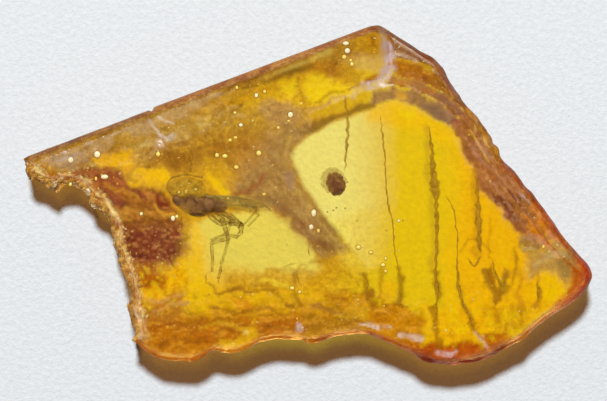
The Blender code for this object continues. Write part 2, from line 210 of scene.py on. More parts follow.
# Each stretch of the edge: form, bevel width, foot inset, chip depth, crumb depth, finish, points.
edgeStretches = [
    ("straight", 0.13, 0.05, 0.01, 0.01, "sawn", "-11.05 1.42, -6.15 3.28"),
    ("straight", 0.16, 0.05, 0.01, 0.01, "sawnWide", "-6.05 3.22, -5.95 3.4, 2.3 6.5"),
    ("curved", 0.15, 0.05, 0.02, 0.01, "corner", "2.45 6.54, 2.75 6.56, 3.05 6.44, 3.5 6.15, 4 5.84"),
    ("curved", 0.18, 0.08, 0.04, 0.02, "upperRight",
     "4.35 5.62, 4.85 5.36, 5.12 5.08, 5.32 4.83, 5.52 4.43, 5.75 4.05"),
    ("curved", 0.20, 0.08, 0.05, 0.05, "chippedGold",
     "6.02 3.68, 6.5 3.1, 7 2.42, 7.16 2.18, 7.2 2, 7.4 1.8, 7.45 1.5"),
    ("curved", 0.16, 0.08, 0.04, 0.02, "rightEdge",
     "7.6 1.3, 8 0.95, 8.4 0.4, 8.72 0.08, 9 -0.3, 9.5 -1, 10 -1.7"),
    ("curved", 0.16, 0.08, 0.01, 0.01, "tip",
     "10.5 -2.3, 10.84 -2.7, 10.98 -3.1, 10.88 -3.42, 10.68 -3.75, 10.3 -4.1"),
    ("curved", 0.12, 0.06, 0.03, 0.02, "lowerRight",
     "9.8 -4.45, 9.3 -4.75, 9 -5, 8.62 -5.28, 8.38 -5.58, 8 -5.75"),
    ("curved", 0.13, 0.06, 0.04, 0.04, "toe",
     "7.7 -5.95, 7 -6.3, 6.2 -6.54, 5.5 -6.6, 4.95 -6.55, 4.5 -6.45"),
    ("curved", 0.14, 0.06, 0.04, 0.04, "hollow",
     "4 -6.15, 3.5 -5.9, 2.5 -5.5, 2 -5.38, 1.5 -5.42, 1 -5.5, 0.6 -5.65"),
    ("curved", 0.14, 0.06, 0.04, 0.05, "honey",
     "0.25 -5.76, -0.05 -5.74, -0.22 -5.64, -0.6 -5.61, -1.1 -5.6, -1.55 -5.66, -1.95 -5.76"),
    ("curved", 0.12, 0.06, 0.06, 0.07, "honey",
     "-2.3 -5.95, -2.62 -6.1, -2.95 -6.15, -3.35 -6.08, -3.72 -6.06, -4.02 -6.3, -4.5 -6.45"),
    ("curved", 0.12, 0.06, 0.06, 0.09, "honey",
     "-5 -6.45, -5.5 -6.4, -6 -6.3, -6.32 -6.05, -6.6 -5.86, -6.86 -5.64"),
    ("curved", 0.30, 0.06, 0.12, 0.20, "crust",
     "-6.84 -5.48, -6.74 -5.28, -6.82 -5.12, -6.92 -4.85, -7.08 -4.4, -6.95 -4.02, -7.05 -3.6"),
    ("curved", 0.26, 0.06, 0.10, 0.15, "crust",
     "-7.16 -3.2, -7.32 -2.75, -7.44 -2.35, -7.6 -1.98, -7.58 -1.55, -7.72 -1.1"),
    ("curved", 0.30, 0.06, 0.12, 0.20, "crust",
     "-7.92 -0.8, -8.18 -0.62, -8.32 -0.48, -8.52 -0.22, -8.64 -0.02, -8.88 0.15, -9.18 0.38"),
    ("curved", 0.28, 0.06, 0.10, 0.18, "crust",
     "-9.52 0.36, -9.7 0.15, -9.84 0.05, -10.1 0.3, -10.4 0.47, -10.84 0.62, -10.98 0.85, -11.02 1.12"),
]

# the crest of the break at the right, and the small flake at the step of the sawn edge
breakLine = placed(
    "1.6 3.86, 2.5 4.15, 3.35 4.28, 4.2 4.1, 4.98 3.72, 5.66 3.2, 6.24 2.58, 6.74 1.76, 7.28 0.78, "
    "7.92 -0.14, 8.65 -1.06, 9.38 -1.92, 10.2 -2.7, 11.3 -3.6"
)
ledge = placed("-6.05 3.05, -5.72 2.5, -5.25 2.12")


def chipOutline():
    # the edge as points with their bevel, inset, chip and crumb depths, and the finish of the skin
    found = []
    for n, (form, bevel, foot, chipDepth, crumbDepth, finish, points) in enumerate(edgeStretches):
        dark, light, reach, cover = rimFinishes[finish]
        path = [*placed(points), placed(edgeStretches[(n + 1) % len(edgeStretches)][6])[0]]
        if form == "curved":
            line = curveThrough(path, chip["edgeStep"])[:-1]
        else:
            line = []
            for a, b in zip(np.array(path[:-1]), np.array(path[1:])):
                count = max(1, int(np.linalg.norm(b - a) / chip["edgeStep"] + 0.5))
                line += [a + (b - a) * i / count for i in range(count)]
        look = (*linear(dark), *linear(light), reach, cover)
        found += [(*p, bevel, foot, chipDepth, crumbDepth, *look) for p in line]
    return np.array(found)


def relaxed(values, rounds):
    # a closed ring of values, smoothed
    for _ in range(rounds):
        values = (np.roll(values, 1, axis=0) + 2 * values + np.roll(values, -1, axis=0)) / 4
    return values


breakCurve = curveThrough(breakLine, chip["creaseStep"])
run = np.gradient(breakCurve, axis=0)
outward = relaxed(np.stack([-run[:, 1], run[:, 0]], axis=1) / np.linalg.norm(run, axis=1)[:, None], 30)
lowerCrease = breakCurve + outward * chip["breakWidth"]


def breakFade(points):
    # how fully the break has set in along the chip
    start, length = chip["breakStart"]
    return smoothStep((points[:, 0] - start) / length)


def topHeight(points):
    # height of the upper face over each point, mm
    (wave, waveLength), (ripple, rippleLength) = chip["waves"], chip["ripples"]
    height = chip["thickness"] + wave * roughness(points, waveLength, 4.0, 1)
    height += ripple * roughness(points, rippleLength, 9.0, 2)
    outside = np.maximum(pathSide(points, breakCurve), 0)
    fall = np.minimum(outside / chip["breakWidth"], 1) * chip["breakDrop"]
    fall += np.maximum(outside - chip["breakWidth"], 0) * chip["breakTail"]
    shell, shellLength = chip["shells"]
    marks = shell * roughness(points, shellLength, 2.0, 2) * smoothStep(outside / 0.3)
    height -= breakFade(points) * (fall + marks)
    flake = pathSide(points, ledge)
    near = np.linalg.norm(points - np.array(ledge[1]), axis=1)
    height -= np.where((flake < 0) & (near < 1.0), chip["flakeDepth"] * smoothStep(1.0 - near), 0)
    return height


def insidePoints(rim, step, margin, lines=()):
    # a staggered grid of points inside the rim, with finer points along the lines
    grid, _ = staggered(step, 11.5, 7.0)
    for line in lines:
        grid = np.concatenate([grid[pathDistance(grid, line) > step * 0.55], line])
    return grid[areaDepth(grid, rim) > margin]


def closeFace(rim, inner, faceUp, firstRim, firstInner):
    # triangles from the rim's points through the inner ones, as vertex numbers
    flat = [Vector(p) for p in np.concatenate([rim, inner])]
    edges = [(i, (i + 1) % len(rim)) for i in range(len(rim))]
    coords, _, faces, sources, _, _ = geometry.delaunay_2d_cdt(flat, edges, [], 1, 1e-6)
    number = []
    for source in sources:
        s = min(source)
        number.append(firstRim + s if s < len(rim) else firstInner + s - len(rim))
    out = []
    for face in faces:
        a, b, c = (coords[i] for i in face)
        turned = (b - a).cross(c - a) > 0
        ids = [number[i] for i in face]
        out.append(ids if turned == faceUp else ids[::-1])
    return out


def untangled(ring):
    # a ring of points, calmed until it no longer crosses itself
    edges = [(i, (i + 1) % len(ring)) for i in range(len(ring))]
    for _ in range(40):
        if len(geometry.delaunay_2d_cdt([Vector(p) for p in ring], edges, [], 0, 1e-6)[0]) == len(ring):
            break
        ring = relaxed(ring, 2)
    return ring


def cellDepth(points, size, shift):
    # distance to the nearest of many scattered centres, in cell widths
    offset = Vector((shift, 2 * shift, 3 * shift))
    return np.array([noise.voronoi(Vector(p) / size + offset)[0][0] for p in points])


def chipMesh():
    # the whole chip: rings of points up the wall and bevel, then the top and the underside
    edge = chipOutline()
    line, props = edge[:, :2], relaxed(edge[:, 2:], 8)
    count, rows = len(line), chip["wallRows"] + chip["bevelRows"]
    calm = relaxed(line, 20)
    turn = np.roll(relaxed(line, 7), -1, axis=0) - np.roll(relaxed(line, 7), 1, axis=0)
    into = np.stack([turn[:, 1], -turn[:, 0]], axis=1)
    into /= np.linalg.norm(into, axis=1)[:, None]
    bevel, foot, chips, crumbs = props[:, :4].T
    rimHeight = topHeight(calm + into * bevel[:, None])
    drop = 0.05 + 0.95 * bevel
    large, medium, small = chip["biteSizes"]
    verts = []
    for k in range(rows):
        low, high = k / (chip["wallRows"] - 1), (k - chip["wallRows"] + 1) / chip["bevelRows"]
        if high <= 0:
            z = (rimHeight - drop) * low
            inset = foot * np.clip(1 - low / 0.12, 0, 1) ** 2
        else:
            z = rimHeight - drop * (1 - high) ** 1.15
            inset = bevel * high ** 1.25
        mix = max(0.0, high) ** 0.7 + (0.5 if k == 0 else 0)
        base = line * (1 - mix) + calm * mix
        solid = np.column_stack([base, z])
        scar = chips * 1.7 * np.clip(0.75 - cellDepth(solid, large, 0.0), 0, 1)
        upper = 0.35 + 0.65 * max(0.0, high)
        scar += crumbs * upper * 1.9 * np.clip(0.85 - cellDepth(solid, medium, 2.0), 0, 1)
        scar += 0.6 * crumbs * upper * np.clip(0.8 - cellDepth(solid, small, 5.0), 0, 1)
        place = base + into * (inset + scar * (0.6 if k in (0, rows - 1) else 1.0))[:, None]
        if k in (0, rows - 1):
            place = untangled(place)
        z = z - (0.9 * scar * max(0.0, high) if k < rows - 1 else 0.0)
        verts.append(np.column_stack([place, z]))
    wall = np.concatenate(verts)
    faces = ringFaces(rows, count)
    rim, footRim = verts[-1][:, :2], verts[0][:, :2]
    inner = insidePoints(rim, chip["faceStep"], chip["faceStep"] * 0.45, [breakCurve, lowerCrease])
    under = insidePoints(footRim, chip["underStep"], chip["underStep"] * 0.45)
    top = np.column_stack([inner, topHeight(inner)])
    low = np.column_stack([under, np.zeros(len(under))])
    wall[-count:, 2] = topHeight(rim)
    firstTop, firstLow = len(wall), len(wall) + len(top)
    faces += closeFace(rim, inner, True, (rows - 1) * count, firstTop)
    faces += closeFace(footRim, under, False, 0, firstLow)
    where = np.concatenate([
        np.repeat(np.linspace(0, 1, rows), count), np.full(len(top), 2.0), np.full(len(low), -1.0)
    ])
    facing = np.concatenate([np.tile(-into, (rows, 1)), np.zeros((len(top) + len(low), 2))])
    return np.concatenate([wall, top, low]), faces, where, facing, np.array(verts), into, props


# colours seen in the chip

paperColour = (237, 240, 242)
clearest = (246, 232, 150)  # how paper looks through the resin where no stain lies
groundColour, groundMottling = (210, 154, 30), 0.8  # where none of the shapes below lies

stains = [  # name, colour, soft edge in mm, strength, wobble in mm, mottling, shape
    # broad fields first
    ("upper olive", (192, 144, 46), 0.9, 1.0, 0.30, 0.9,
     "-11 1.2, -6 3.6, 2.4 6.8, 2.6 4.3, 1.5 3.9, 0 3.1, -1 2, -2.6 0.9, -4.5 0.9, -6 0.9, -8.4 0.5"),
    ("lower band", (190, 106, 6), 0.6, 1.0, 0.25, 0.9,
     "-7.4 -2.6, -4.6 -3.4, -1 -3.6, 2 -3.8, 3.4 -3.9, 4.4 -6.8, 0.3 -6.2, -3 -6.6, -7 -6.6"),
    ("right gold", (230, 182, 6), 1.2, 1.0, 0.20, 0.25,
     "2.6 3.7, 4.6 3.4, 6 2.2, 6.8 0.6, 8.2 -1.2, 9.6 -2.6, 10 -4.4, 8 -6.2, 4.5 -6.8, 3.2 -5.6, "
     "2.9 -1.5, 2.8 1"),
    ("right amber", (234, 170, 4), 0.9, 0.85, 0.25, 0.35,
     "5.4 3, 6.6 1.6, 7.8 -0.4, 9.4 -2.4, 9.8 -4, 7 -5.8, 5.4 -5.8, 5.4 -3.4, 5.9 0.2"),
    # the upper left
    ("left tan", (206, 162, 74), 0.5, 0.8, 0.25, 0.9, "-6.4 3.1, -4.3 4, -4.2 3, -4.8 2, -7 1.2, -7.4 2.4"),
    ("middle brown", (176, 118, 30), 0.6, 0.85, 0.30, 1.0,
     "-6.6 1.9, -5 2.3, -2.8 2.4, -1.2 2.2, -1.6 1.2, -2.6 0.5, -3.4 1.4, -4.6 0.9, -6.4 1.1"),
    ("middle rust", (190, 136, 52), 0.4, 0.8, 0.25, 1.0,
     "-2.8 2, -1.4 2.2, -1 1.4, -1.5 0.6, -2.4 0.6, -2.9 1.3"),
    ("dark knot", (146, 90, 18), 0.3, 0.7, 0.15, 1.0, "-5.6 1.5, -4.8 1.6, -4.5 1.2, -5.2 1.1"),
    ("middle gold", (212, 158, 20), 0.4, 0.85, 0.15, 0.6,
     "-4.1 1.6, -3.3 1.4, -3 0.6, -3.1 0, -3.6 0.2, -4 0.8"),
    ("gnat gold", (246, 196, 2), 0.22, 0.9, 0.08, 0.2, "-3.9 0.8, -3.4 0.62, -3 0.1, -3.15 -0.05, -3.6 0.25"),
    ("upper gold", (228, 176, 14), 0.4, 0.9, 0.20, 0.8,
     "-4.4 3.5, -3.2 3.95, -2.6 4.1, -1.2 4.6, -0.4 4.7, 0.4 4.85, 1.2 4.7, 2 4.2, 1.4 3.7, 0.2 3.2, "
     "-0.9 3.6, -2 3.6, -3.2 3.4, -4 3.1"),
    ("pink haze", (188, 144, 86), 0.35, 0.85, 0.20, 0.9, "-2 3.5, -0.9 3.7, -0.3 3.3, -0.6 2.7, -1.6 2.7"),
    ("yellow one", (255, 206, 0), 0.20, 1.0, 0.12, 0.15,
     "-1.15 4.45, -0.4 4.62, -0.42 4.2, -0.65 3.9, -1.05 4.1"),
    ("yellow two", (255, 202, 0), 0.25, 1.0, 0.15, 0.2,
     "0 4.72, 0.45 4.76, 1 4.4, 1.55 4.2, 2 4.1, 1.7 3.85, 0.9 3.58, 0.1 3.58, -0.2 4"),
    ("brown over yellow", (196, 128, 20), 0.3, 0.85, 0.15, 0.8,
     "-0.2 5, 0.6 5.2, 1.5 5.1, 2.4 4.9, 2.7 4.4, 2 4.2, 1.2 4.6, 0.2 4.9"),
    ("olive shade", (140, 106, 22), 0.18, 0.85, 0.06, 0.5,
     "-1.9 4.4, -1 4.8, 0 5.14, 0.3 5.1, -0.1 4.86, -0.9 4.62, -1.7 4.25"),
    ("pale olive", (212, 184, 90), 0.10, 0.9, 0.04, 0.4,
     "-1.9 4.52, -1 4.93, 0.1 5.36, 0.95 5.8, 0.95 5.52, 0 5.18, -0.95 4.8"),
    ("peach lens", (206, 158, 92), 0.25, 0.85, 0.08, 0.5,
     "1.3 5.35, 2 5.58, 2.6 5.4, 2.95 5, 2.6 4.8, 1.9 5"),
    ("corner gold", (212, 158, 22), 0.3, 0.85, 0.12, 0.6,
     "1.8 6.2, 2.5 6.5, 2.95 6, 2.9 5.5, 2.3 5.6, 1.8 5.7"),
    ("dark crescent", (182, 104, 10), 0.14, 0.9, 0.04, 0.3,
     "2.55 5.75, 2.85 5.6, 3.05 5.1, 2.95 4.75, 2.6 4.55, 2.85 4.95, 2.75 5.4"),
    ("sawn strip", (150, 82, 32), 0.12, 0.85, 0.05, 0.8,
     "-3.3 4.5, -1 5.42, 0.9 6.12, 0.9 5.85, -0.6 5.2, -1.4 4.85, -2.4 4.4, -3.2 4.15"),
    ("sawn strip two", (160, 106, 38), 0.14, 0.8, 0.05, 0.8,
     "-11.1 1.6, -6.1 3.45, -3.2 4.6, -3.2 4.25, -6 3.15, -10.8 1.3"),
    # the far left
    ("tip gold", (214, 156, 20), 0.25, 0.85, 0.15, 0.9,
     "-11.1 1.35, -10.3 1.5, -9.9 1, -10.2 0.5, -10.9 0.5"),
    ("tip orange", (190, 112, 14), 0.2, 0.9, 0.12, 0.8,
     "-10.3 0.95, -9.2 0.9, -9.2 0.4, -9.8 0.1, -10.3 0.4"),
    ("lilac haze", (182, 142, 104), 0.25, 0.9, 0.15, 0.7,
     "-10.1 1.5, -8.9 1.75, -8.5 1.3, -8.9 1.05, -9.9 1"),
    ("red left", (156, 74, 48), 0.30, 0.95, 0.25, 1.0,
     "-9.4 0.95, -8.4 1.15, -7.2 1, -6.9 0.2, -7.6 -0.2, -8.6 0.1, -9.3 0.5"),
    ("left yellow two", (248, 182, 4), 0.22, 0.95, 0.15, 0.5,
     "-8.1 1.2, -7.6 1.6, -7 1.85, -6.85 1.1, -7.1 0.75, -7.5 1.05"),
    ("left yellow", (250, 188, 0), 0.18, 0.95, 0.10, 0.3,
     "-6.95 0.75, -6.4 1, -5.45 1, -5.4 0.4, -5.7 0.2, -6.3 0.3, -6.9 0.4"),
    ("left orange", (150, 72, 22), 0.3, 0.9, 0.25, 1.0,
     "-7.9 -0.1, -6.9 0.35, -5.9 0.25, -5.2 -0.4, -4.9 -0.95, -6.4 -0.95, -7.9 -0.85"),
    ("purple spot", (130, 52, 34), 0.16, 0.8, 0.08, 0.6, "-7.6 -0.3, -7.2 -0.2, -6.95 -0.4, -7.3 -0.6"),
    ("purple spot two", (136, 56, 30), 0.14, 0.75, 0.08, 0.6, "-6.9 0.1, -6.5 0.2, -6.4 -0.02, -6.8 -0.1"),
    ("red drop", (134, 36, 10), 0.14, 0.95, 0.05, 0.3,
     "-5.95 0.1, -5.6 0.15, -5.45 -0.2, -5.5 -0.6, -5.85 -0.6"),
    ("drop rim", (216, 140, 34), 0.08, 0.9, 0.03, 0.2,
     "-5.42 -0.05, -5.28 -0.1, -5.12 -0.4, -5.2 -0.48, -5.38 -0.3"),
    ("brown shelf", (146, 80, 34), 0.25, 0.95, 0.18, 1.0,
     "-7.9 -0.9, -6.2 -0.9, -4.85 -1, -4.7 -1.5, -6 -1.5, -7.7 -1.5"),
    ("red patch", (136, 62, 40), 0.18, 1.0, 0.22, 1.0,
     "-7.7 -1.4, -6.4 -1.3, -4.9 -1.3, -4.62 -1.6, -4.75 -2.3, -5.4 -2.75, -7 -2.85, -7.6 -2.6"),
    ("red knot", (116, 38, 24), 0.25, 0.8, 0.12, 0.8,
     "-7.3 -1.5, -6.7 -1.5, -6.6 -2.2, -6.2 -2.5, -7.1 -2.5"),
    ("red knot two", (122, 42, 26), 0.2, 0.7, 0.12, 0.8, "-5.9 -2.1, -5.1 -2, -5 -2.4, -5.8 -2.5"),
    ("orange below", (176, 92, 10), 0.3, 0.95, 0.2, 0.8,
     "-7.2 -2.8, -6 -2.8, -5.7 -3.4, -6 -3.9, -6.8 -4, -7.1 -3.4"),
    ("yellow below", (242, 174, 0), 0.25, 1.0, 0.15, 0.9,
     "-5.6 -3, -4.9 -2.6, -4.3 -2.5, -4.1 -3.4, -4.05 -4.5, -4.6 -4.6, -5 -4.1, -5.6 -3.8"),
    ("hot orange", (254, 176, 0), 0.2, 1.0, 0.12, 0.3, "-6.6 -3.6, -6 -3.6, -5.65 -4, -6 -4.45, -6.5 -4.35"),
    # the two clear windows and what divides them
    ("left window", (236, 212, 88), 0.34, 1.0, 0.07, 0.12,
     "-4.6 -1.1, -3.9 -0.95, -3 -0.75, -1.6 -0.6, -0.6 -1.2, 0.1 -2, 0.5 -2.9, -0.2 -3.5, -3 -3.55, "
     "-4 -3.6, -4.6 -3.2"),
    ("left window low", (240, 184, 8), 1.2, 0.9, 0.08, 0.4,
     "-4.8 -2.2, -3.6 -2.9, -1.6 -3.2, 0.6 -3.2, 0.6 -4.4, -4.8 -4.6"),
    ("left window gold", (252, 194, 0), 0.60, 0.95, 0.08, 0.2,
     "-4.66 -1.05, -4.3 -1.05, -4 -2, -4 -3, -3.6 -3.6, -4.1 -4.5, -4.75 -4.4, -4.7 -2.5"),
    ("window foot", (216, 160, 22), 0.4, 0.85, 0.15, 0.9,
     "-3.2 -3, -0.2 -2.9, 2.2 -2.9, 2.6 -3.7, 0.6 -3.7, -3.2 -3.8"),
    ("main window", (242, 224, 118), 0.16, 1.0, 0.04, 0.08,
     "-0.65 1.5, -0.4 1.95, 0.2 2.35, 0.7 2.62, 1.3 2.92, 2 3.15, 2.6 3.4, 3.4 3.75, 4.6 3.3, 5.6 2.4, "
     "6.2 1.2, 6.4 -2.6, 2.4 -2.8, 1.1 -1.4, 0.6 -0.8, 0.2 -0.2, -0.2 0.5, -0.5 1.1"),
    ("veil", (242, 212, 76), 0.7, 0.5, 0.20, 0.9,
     "0.8 -0.9, 2 -0.6, 3.2 -0.6, 3.4 -2.4, 3 -3.2, 1.6 -2.8, 0.9 -1.9"),
    ("window gold", (234, 194, 12), 2.6, 1.0, 0.10, 0.15,
     "2.2 4.8, 6 4, 9 0.4, 8 -5, 1.4 -4.2, 2 -2.4, 2.4 0"),
    ("right gold again", (246, 180, 0), 1.6, 0.9, 0.20, 0.25,
     "5.6 3.2, 7 1.6, 8.4 -0.6, 9.8 -2.6, 9.8 -4.4, 6 -5.8, 5.6 -3, 5.9 0.4"),
    ("gold crown", (248, 192, 2), 0.5, 0.9, 0.10, 0.2,
     "2.3 3.35, 3.3 3.75, 4.2 3.5, 5.2 2.8, 5.9 2.1, 5.4 1.9, 4.3 2.5, 3.2 2.7, 2.4 2.9"),
    ("crown light", (255, 206, 6), 0.2, 0.9, 0.06, 0.1, "3.6 3.25, 4.1 3.3, 4.2 3, 3.8 2.95"),
    ("saddle", (162, 122, 62), 0.30, 0.95, 0.12, 0.9,
     "-3.1 0, -2.2 1.1, -1.2 2.4, 0 3, 0.3 2.7, -0.5 1.8, -0.7 1.3, -0.1 0.2, 0.9 -1.2, 1.6 -2.2, "
     "0.5 -2.5, -0.2 -1.6, -1.2 -0.6, -2.2 -0.2"),
    ("saddle foot", (156, 106, 34), 0.20, 0.8, 0.10, 0.8,
     "-2.4 0.1, -1.2 -0.2, -0.2 -1, 0.8 -2.1, 0.5 -2.3, -0.4 -1.4, -1.4 -0.6"),
    ("saddle light", (196, 156, 72), 0.16, 0.8, 0.06, 0.5,
     "-0.9 2.3, -0.6 2.3, -0.75 1.4, -0.3 0.3, 0.7 -1.3, 0.4 -1.2, -0.6 0.3, -1 1.4"),
    ("yellow ribbon", (220, 174, 24), 0.16, 0.9, 0.05, 0.4,
     "-0.1 2.95, 0.9 3.5, 2.2 4, 2.5 3.85, 1.3 3.35, 0.3 2.95"),
    ("arch", (148, 106, 30), 0.12, 0.95, 0.05, 0.6,
     "-0.5 2.3, 0.3 2.85, 1.3 3.3, 2.3 3.6, 2.7 3.7, 2.6 3.42, 1.5 3.08, 0.7 2.72, 0 2.36"),
    ("arch lilac", (160, 112, 72), 0.14, 0.95, 0.06, 0.8,
     "2.35 3.6, 2.6 4.12, 3.3 4.2, 4.2 4.1, 5 3.7, 5.9 3.2, 6 2.7, 5.4 2.75, 4.7 3.15, 4.2 3.55, "
     "3.4 3.75, 2.8 3.6"),
    ("arch blue", (136, 100, 80), 0.16, 0.8, 0.06, 0.7,
     "4.5 3.6, 5.1 3.5, 5.8 3.1, 5.9 2.75, 5.4 2.75, 4.8 3.1"),
    ("arch gold gap", (226, 164, 40), 0.14, 0.75, 0.05, 0.3, "3.35 4.1, 3.8 4.1, 3.9 3.75, 3.5 3.75"),
    # the broken right side
    ("right red", (162, 88, 54), 0.14, 0.95, 0.10, 1.0,
     "5.6 2.75, 6.1 3.2, 6.5 3.7, 7 2.9, 7.6 2, 8.2 1.3, 8.7 0.3, 8.9 -0.7, 8.7 -1.6, 8.3 -1.6, "
     "7.7 -0.75, 7.2 -0.25, 6.85 0.15, 6.5 0.7, 6.45 1.1, 6.1 1.6, 5.85 2.1"),
    ("right purple", (122, 48, 34), 0.12, 0.9, 0.08, 0.8,
     "7.2 0.1, 7.9 -0.3, 8.3 -0.9, 8.4 -1.4, 8.1 -1.1, 7.6 -0.65, 7.1 -0.15"),
    ("top rust", (174, 98, 10), 0.2, 0.95, 0.12, 0.9,
     "3.3 5.3, 4.2 5.15, 4.8 4.8, 4.7 4.3, 3.6 4.35, 3.4 4.7"),
    ("top umber", (152, 80, 18), 0.2, 0.95, 0.12, 0.9,
     "4.5 4.7, 5.1 4.9, 5.9 4.4, 6.5 3.6, 5.9 3.2, 5.3 3.6, 4.7 3.95, 4.4 4.25"),
    ("corner olive", (166, 112, 46), 0.2, 0.95, 0.10, 0.8,
     "2.9 6.5, 3.6 6.2, 4.4 5.7, 4.9 5.2, 4.2 5.3, 3.3 5.45, 3.1 5.9"),
    ("corner edge", (146, 88, 30), 0.10, 0.85, 0.04, 0.8,
     "3 6.6, 4 6, 5 5.3, 5.8 4.1, 5.5 4.1, 4.8 5.1, 3.8 5.85, 3 6.3"),
    ("chipped gold", (226, 176, 80), 0.16, 0.9, 0.12, 1.0,
     "6.5 2.8, 7 2.7, 7.8 1.9, 7.7 1.3, 7.1 1.45, 6.6 2.2"),
    ("right edge", (176, 112, 52), 0.16, 0.85, 0.10, 1.0,
     "7.4 1.5, 8.4 0.5, 9 -0.3, 8.7 -0.6, 8.1 0.4, 7.4 1.2"),
    ("right orange", (214, 128, 14), 0.2, 0.95, 0.15, 1.0,
     "8.7 -0.2, 9.2 -0.5, 10.1 -1.8, 9.8 -2.2, 9.2 -2, 8.7 -1.7, 8.4 -0.9"),
    ("grey knot", (118, 80, 50), 0.18, 0.85, 0.12, 0.9, "8.2 -1.7, 8.8 -1.6, 9.1 -2, 8.9 -2.5, 8.4 -2.2"),
    ("tip olive", (184, 142, 72), 0.3, 0.9, 0.15, 0.7,
     "8.6 -2.3, 9.4 -2.1, 10.2 -2.6, 10.4 -3.2, 10.1 -3.6, 9.6 -3.1, 8.6 -3.2"),
    ("tip shade", (158, 120, 60), 0.2, 0.75, 0.10, 0.5, "9.6 -2.5, 10.1 -2.6, 10.3 -3.1, 10.1 -3.5, 9.8 -3"),
    ("tip yellow", (255, 190, 0), 0.3, 1.0, 0.10, 0.35,
     "9.2 -3, 9.7 -3.1, 10.1 -3.7, 9.7 -4.1, 9.2 -4.2, 9.1 -3.6"),
    ("tip rim", (190, 88, 18), 0.16, 0.95, 0.08, 0.8,
     "9 -0.2, 10.8 -2.2, 11.3 -3.1, 10.8 -4.2, 9.4 -5, 9 -4.95, 9.5 -4.35, 10.1 -3.95, 10.4 -3.4, "
     "10.3 -2.8, 9.8 -2.2, 9.2 -1.4, 8.7 -0.6"),
    # the lower right
    ("brown toe", (206, 128, 4), 0.3, 0.9, 0.2, 0.8,
     "2.4 -4.4, 3.6 -4.3, 4.5 -4.6, 4.5 -5.4, 4.3 -6.2, 3.2 -5.8, 2.4 -5.4"),
    ("toe light", (240, 184, 8), 0.2, 0.9, 0.1, 0.3, "2.75 -3.3, 3.35 -3.3, 3.4 -4.2, 2.9 -4.25"),
    ("toe gold", (248, 180, 0), 0.5, 0.8, 0.2, 0.6, "4.6 -4.4, 7.2 -4.6, 7.6 -5.4, 5.8 -5.9, 4.6 -5.7"),
    ("toe olive", (210, 152, 10), 0.35, 0.75, 0.2, 0.8, "7 -4.6, 8.2 -4.3, 8.9 -4.6, 8.4 -5.3, 7.4 -5.6"),
    ("toe rust", (186, 82, 8), 0.24, 1.0, 0.10, 1.0,
     "3.3 -5.55, 4.2 -5.75, 5 -5.85, 5.9 -5.8, 6.8 -5.75, 7 -6.4, 6.2 -6.8, 4.5 -6.8, 3.1 -6.1"),
    ("toe rust two", (186, 84, 8), 0.14, 0.95, 0.08, 0.8, "6.9 -5.45, 7.8 -5.3, 8.1 -5.8, 6.9 -6.4"),
    ("low olive", (186, 130, 22), 0.3, 0.85, 0.15, 0.7,
     "-0.2 -4.7, 1.2 -4.8, 2.2 -4.9, 2.4 -5.4, 0.6 -5.9, -0.2 -5.7"),
    ("low orange", (206, 138, 8), 0.3, 0.85, 0.2, 0.6, "0.6 -3.8, 2.4 -3.8, 2.6 -4.4, 1 -4.4"),
    ("low yellow", (234, 176, 12), 0.2, 0.9, 0.12, 0.6,
     "-3.5 -5.8, -2.8 -5.5, -2.1 -5.1, -2 -5.6, -2.6 -6.2, -3.6 -6.2"),
    ("low glow", (226, 140, 6), 0.3, 0.75, 0.15, 0.6, "-2.9 -4.1, -2.2 -3.9, -2 -4.4, -2.7 -4.5"),
    ("low streaked", (186, 122, 36), 0.3, 0.8, 0.2, 0.9,
     "-6.4 -4.3, -4.9 -4.1, -4.6 -4.6, -5.4 -5, -6.4 -4.9"),
    ("low left", (200, 122, 8), 0.4, 0.8, 0.2, 0.8, "-6.8 -5.3, -4.4 -5.2, -4 -6.4, -5.6 -6.4, -6.8 -5.8"),
]

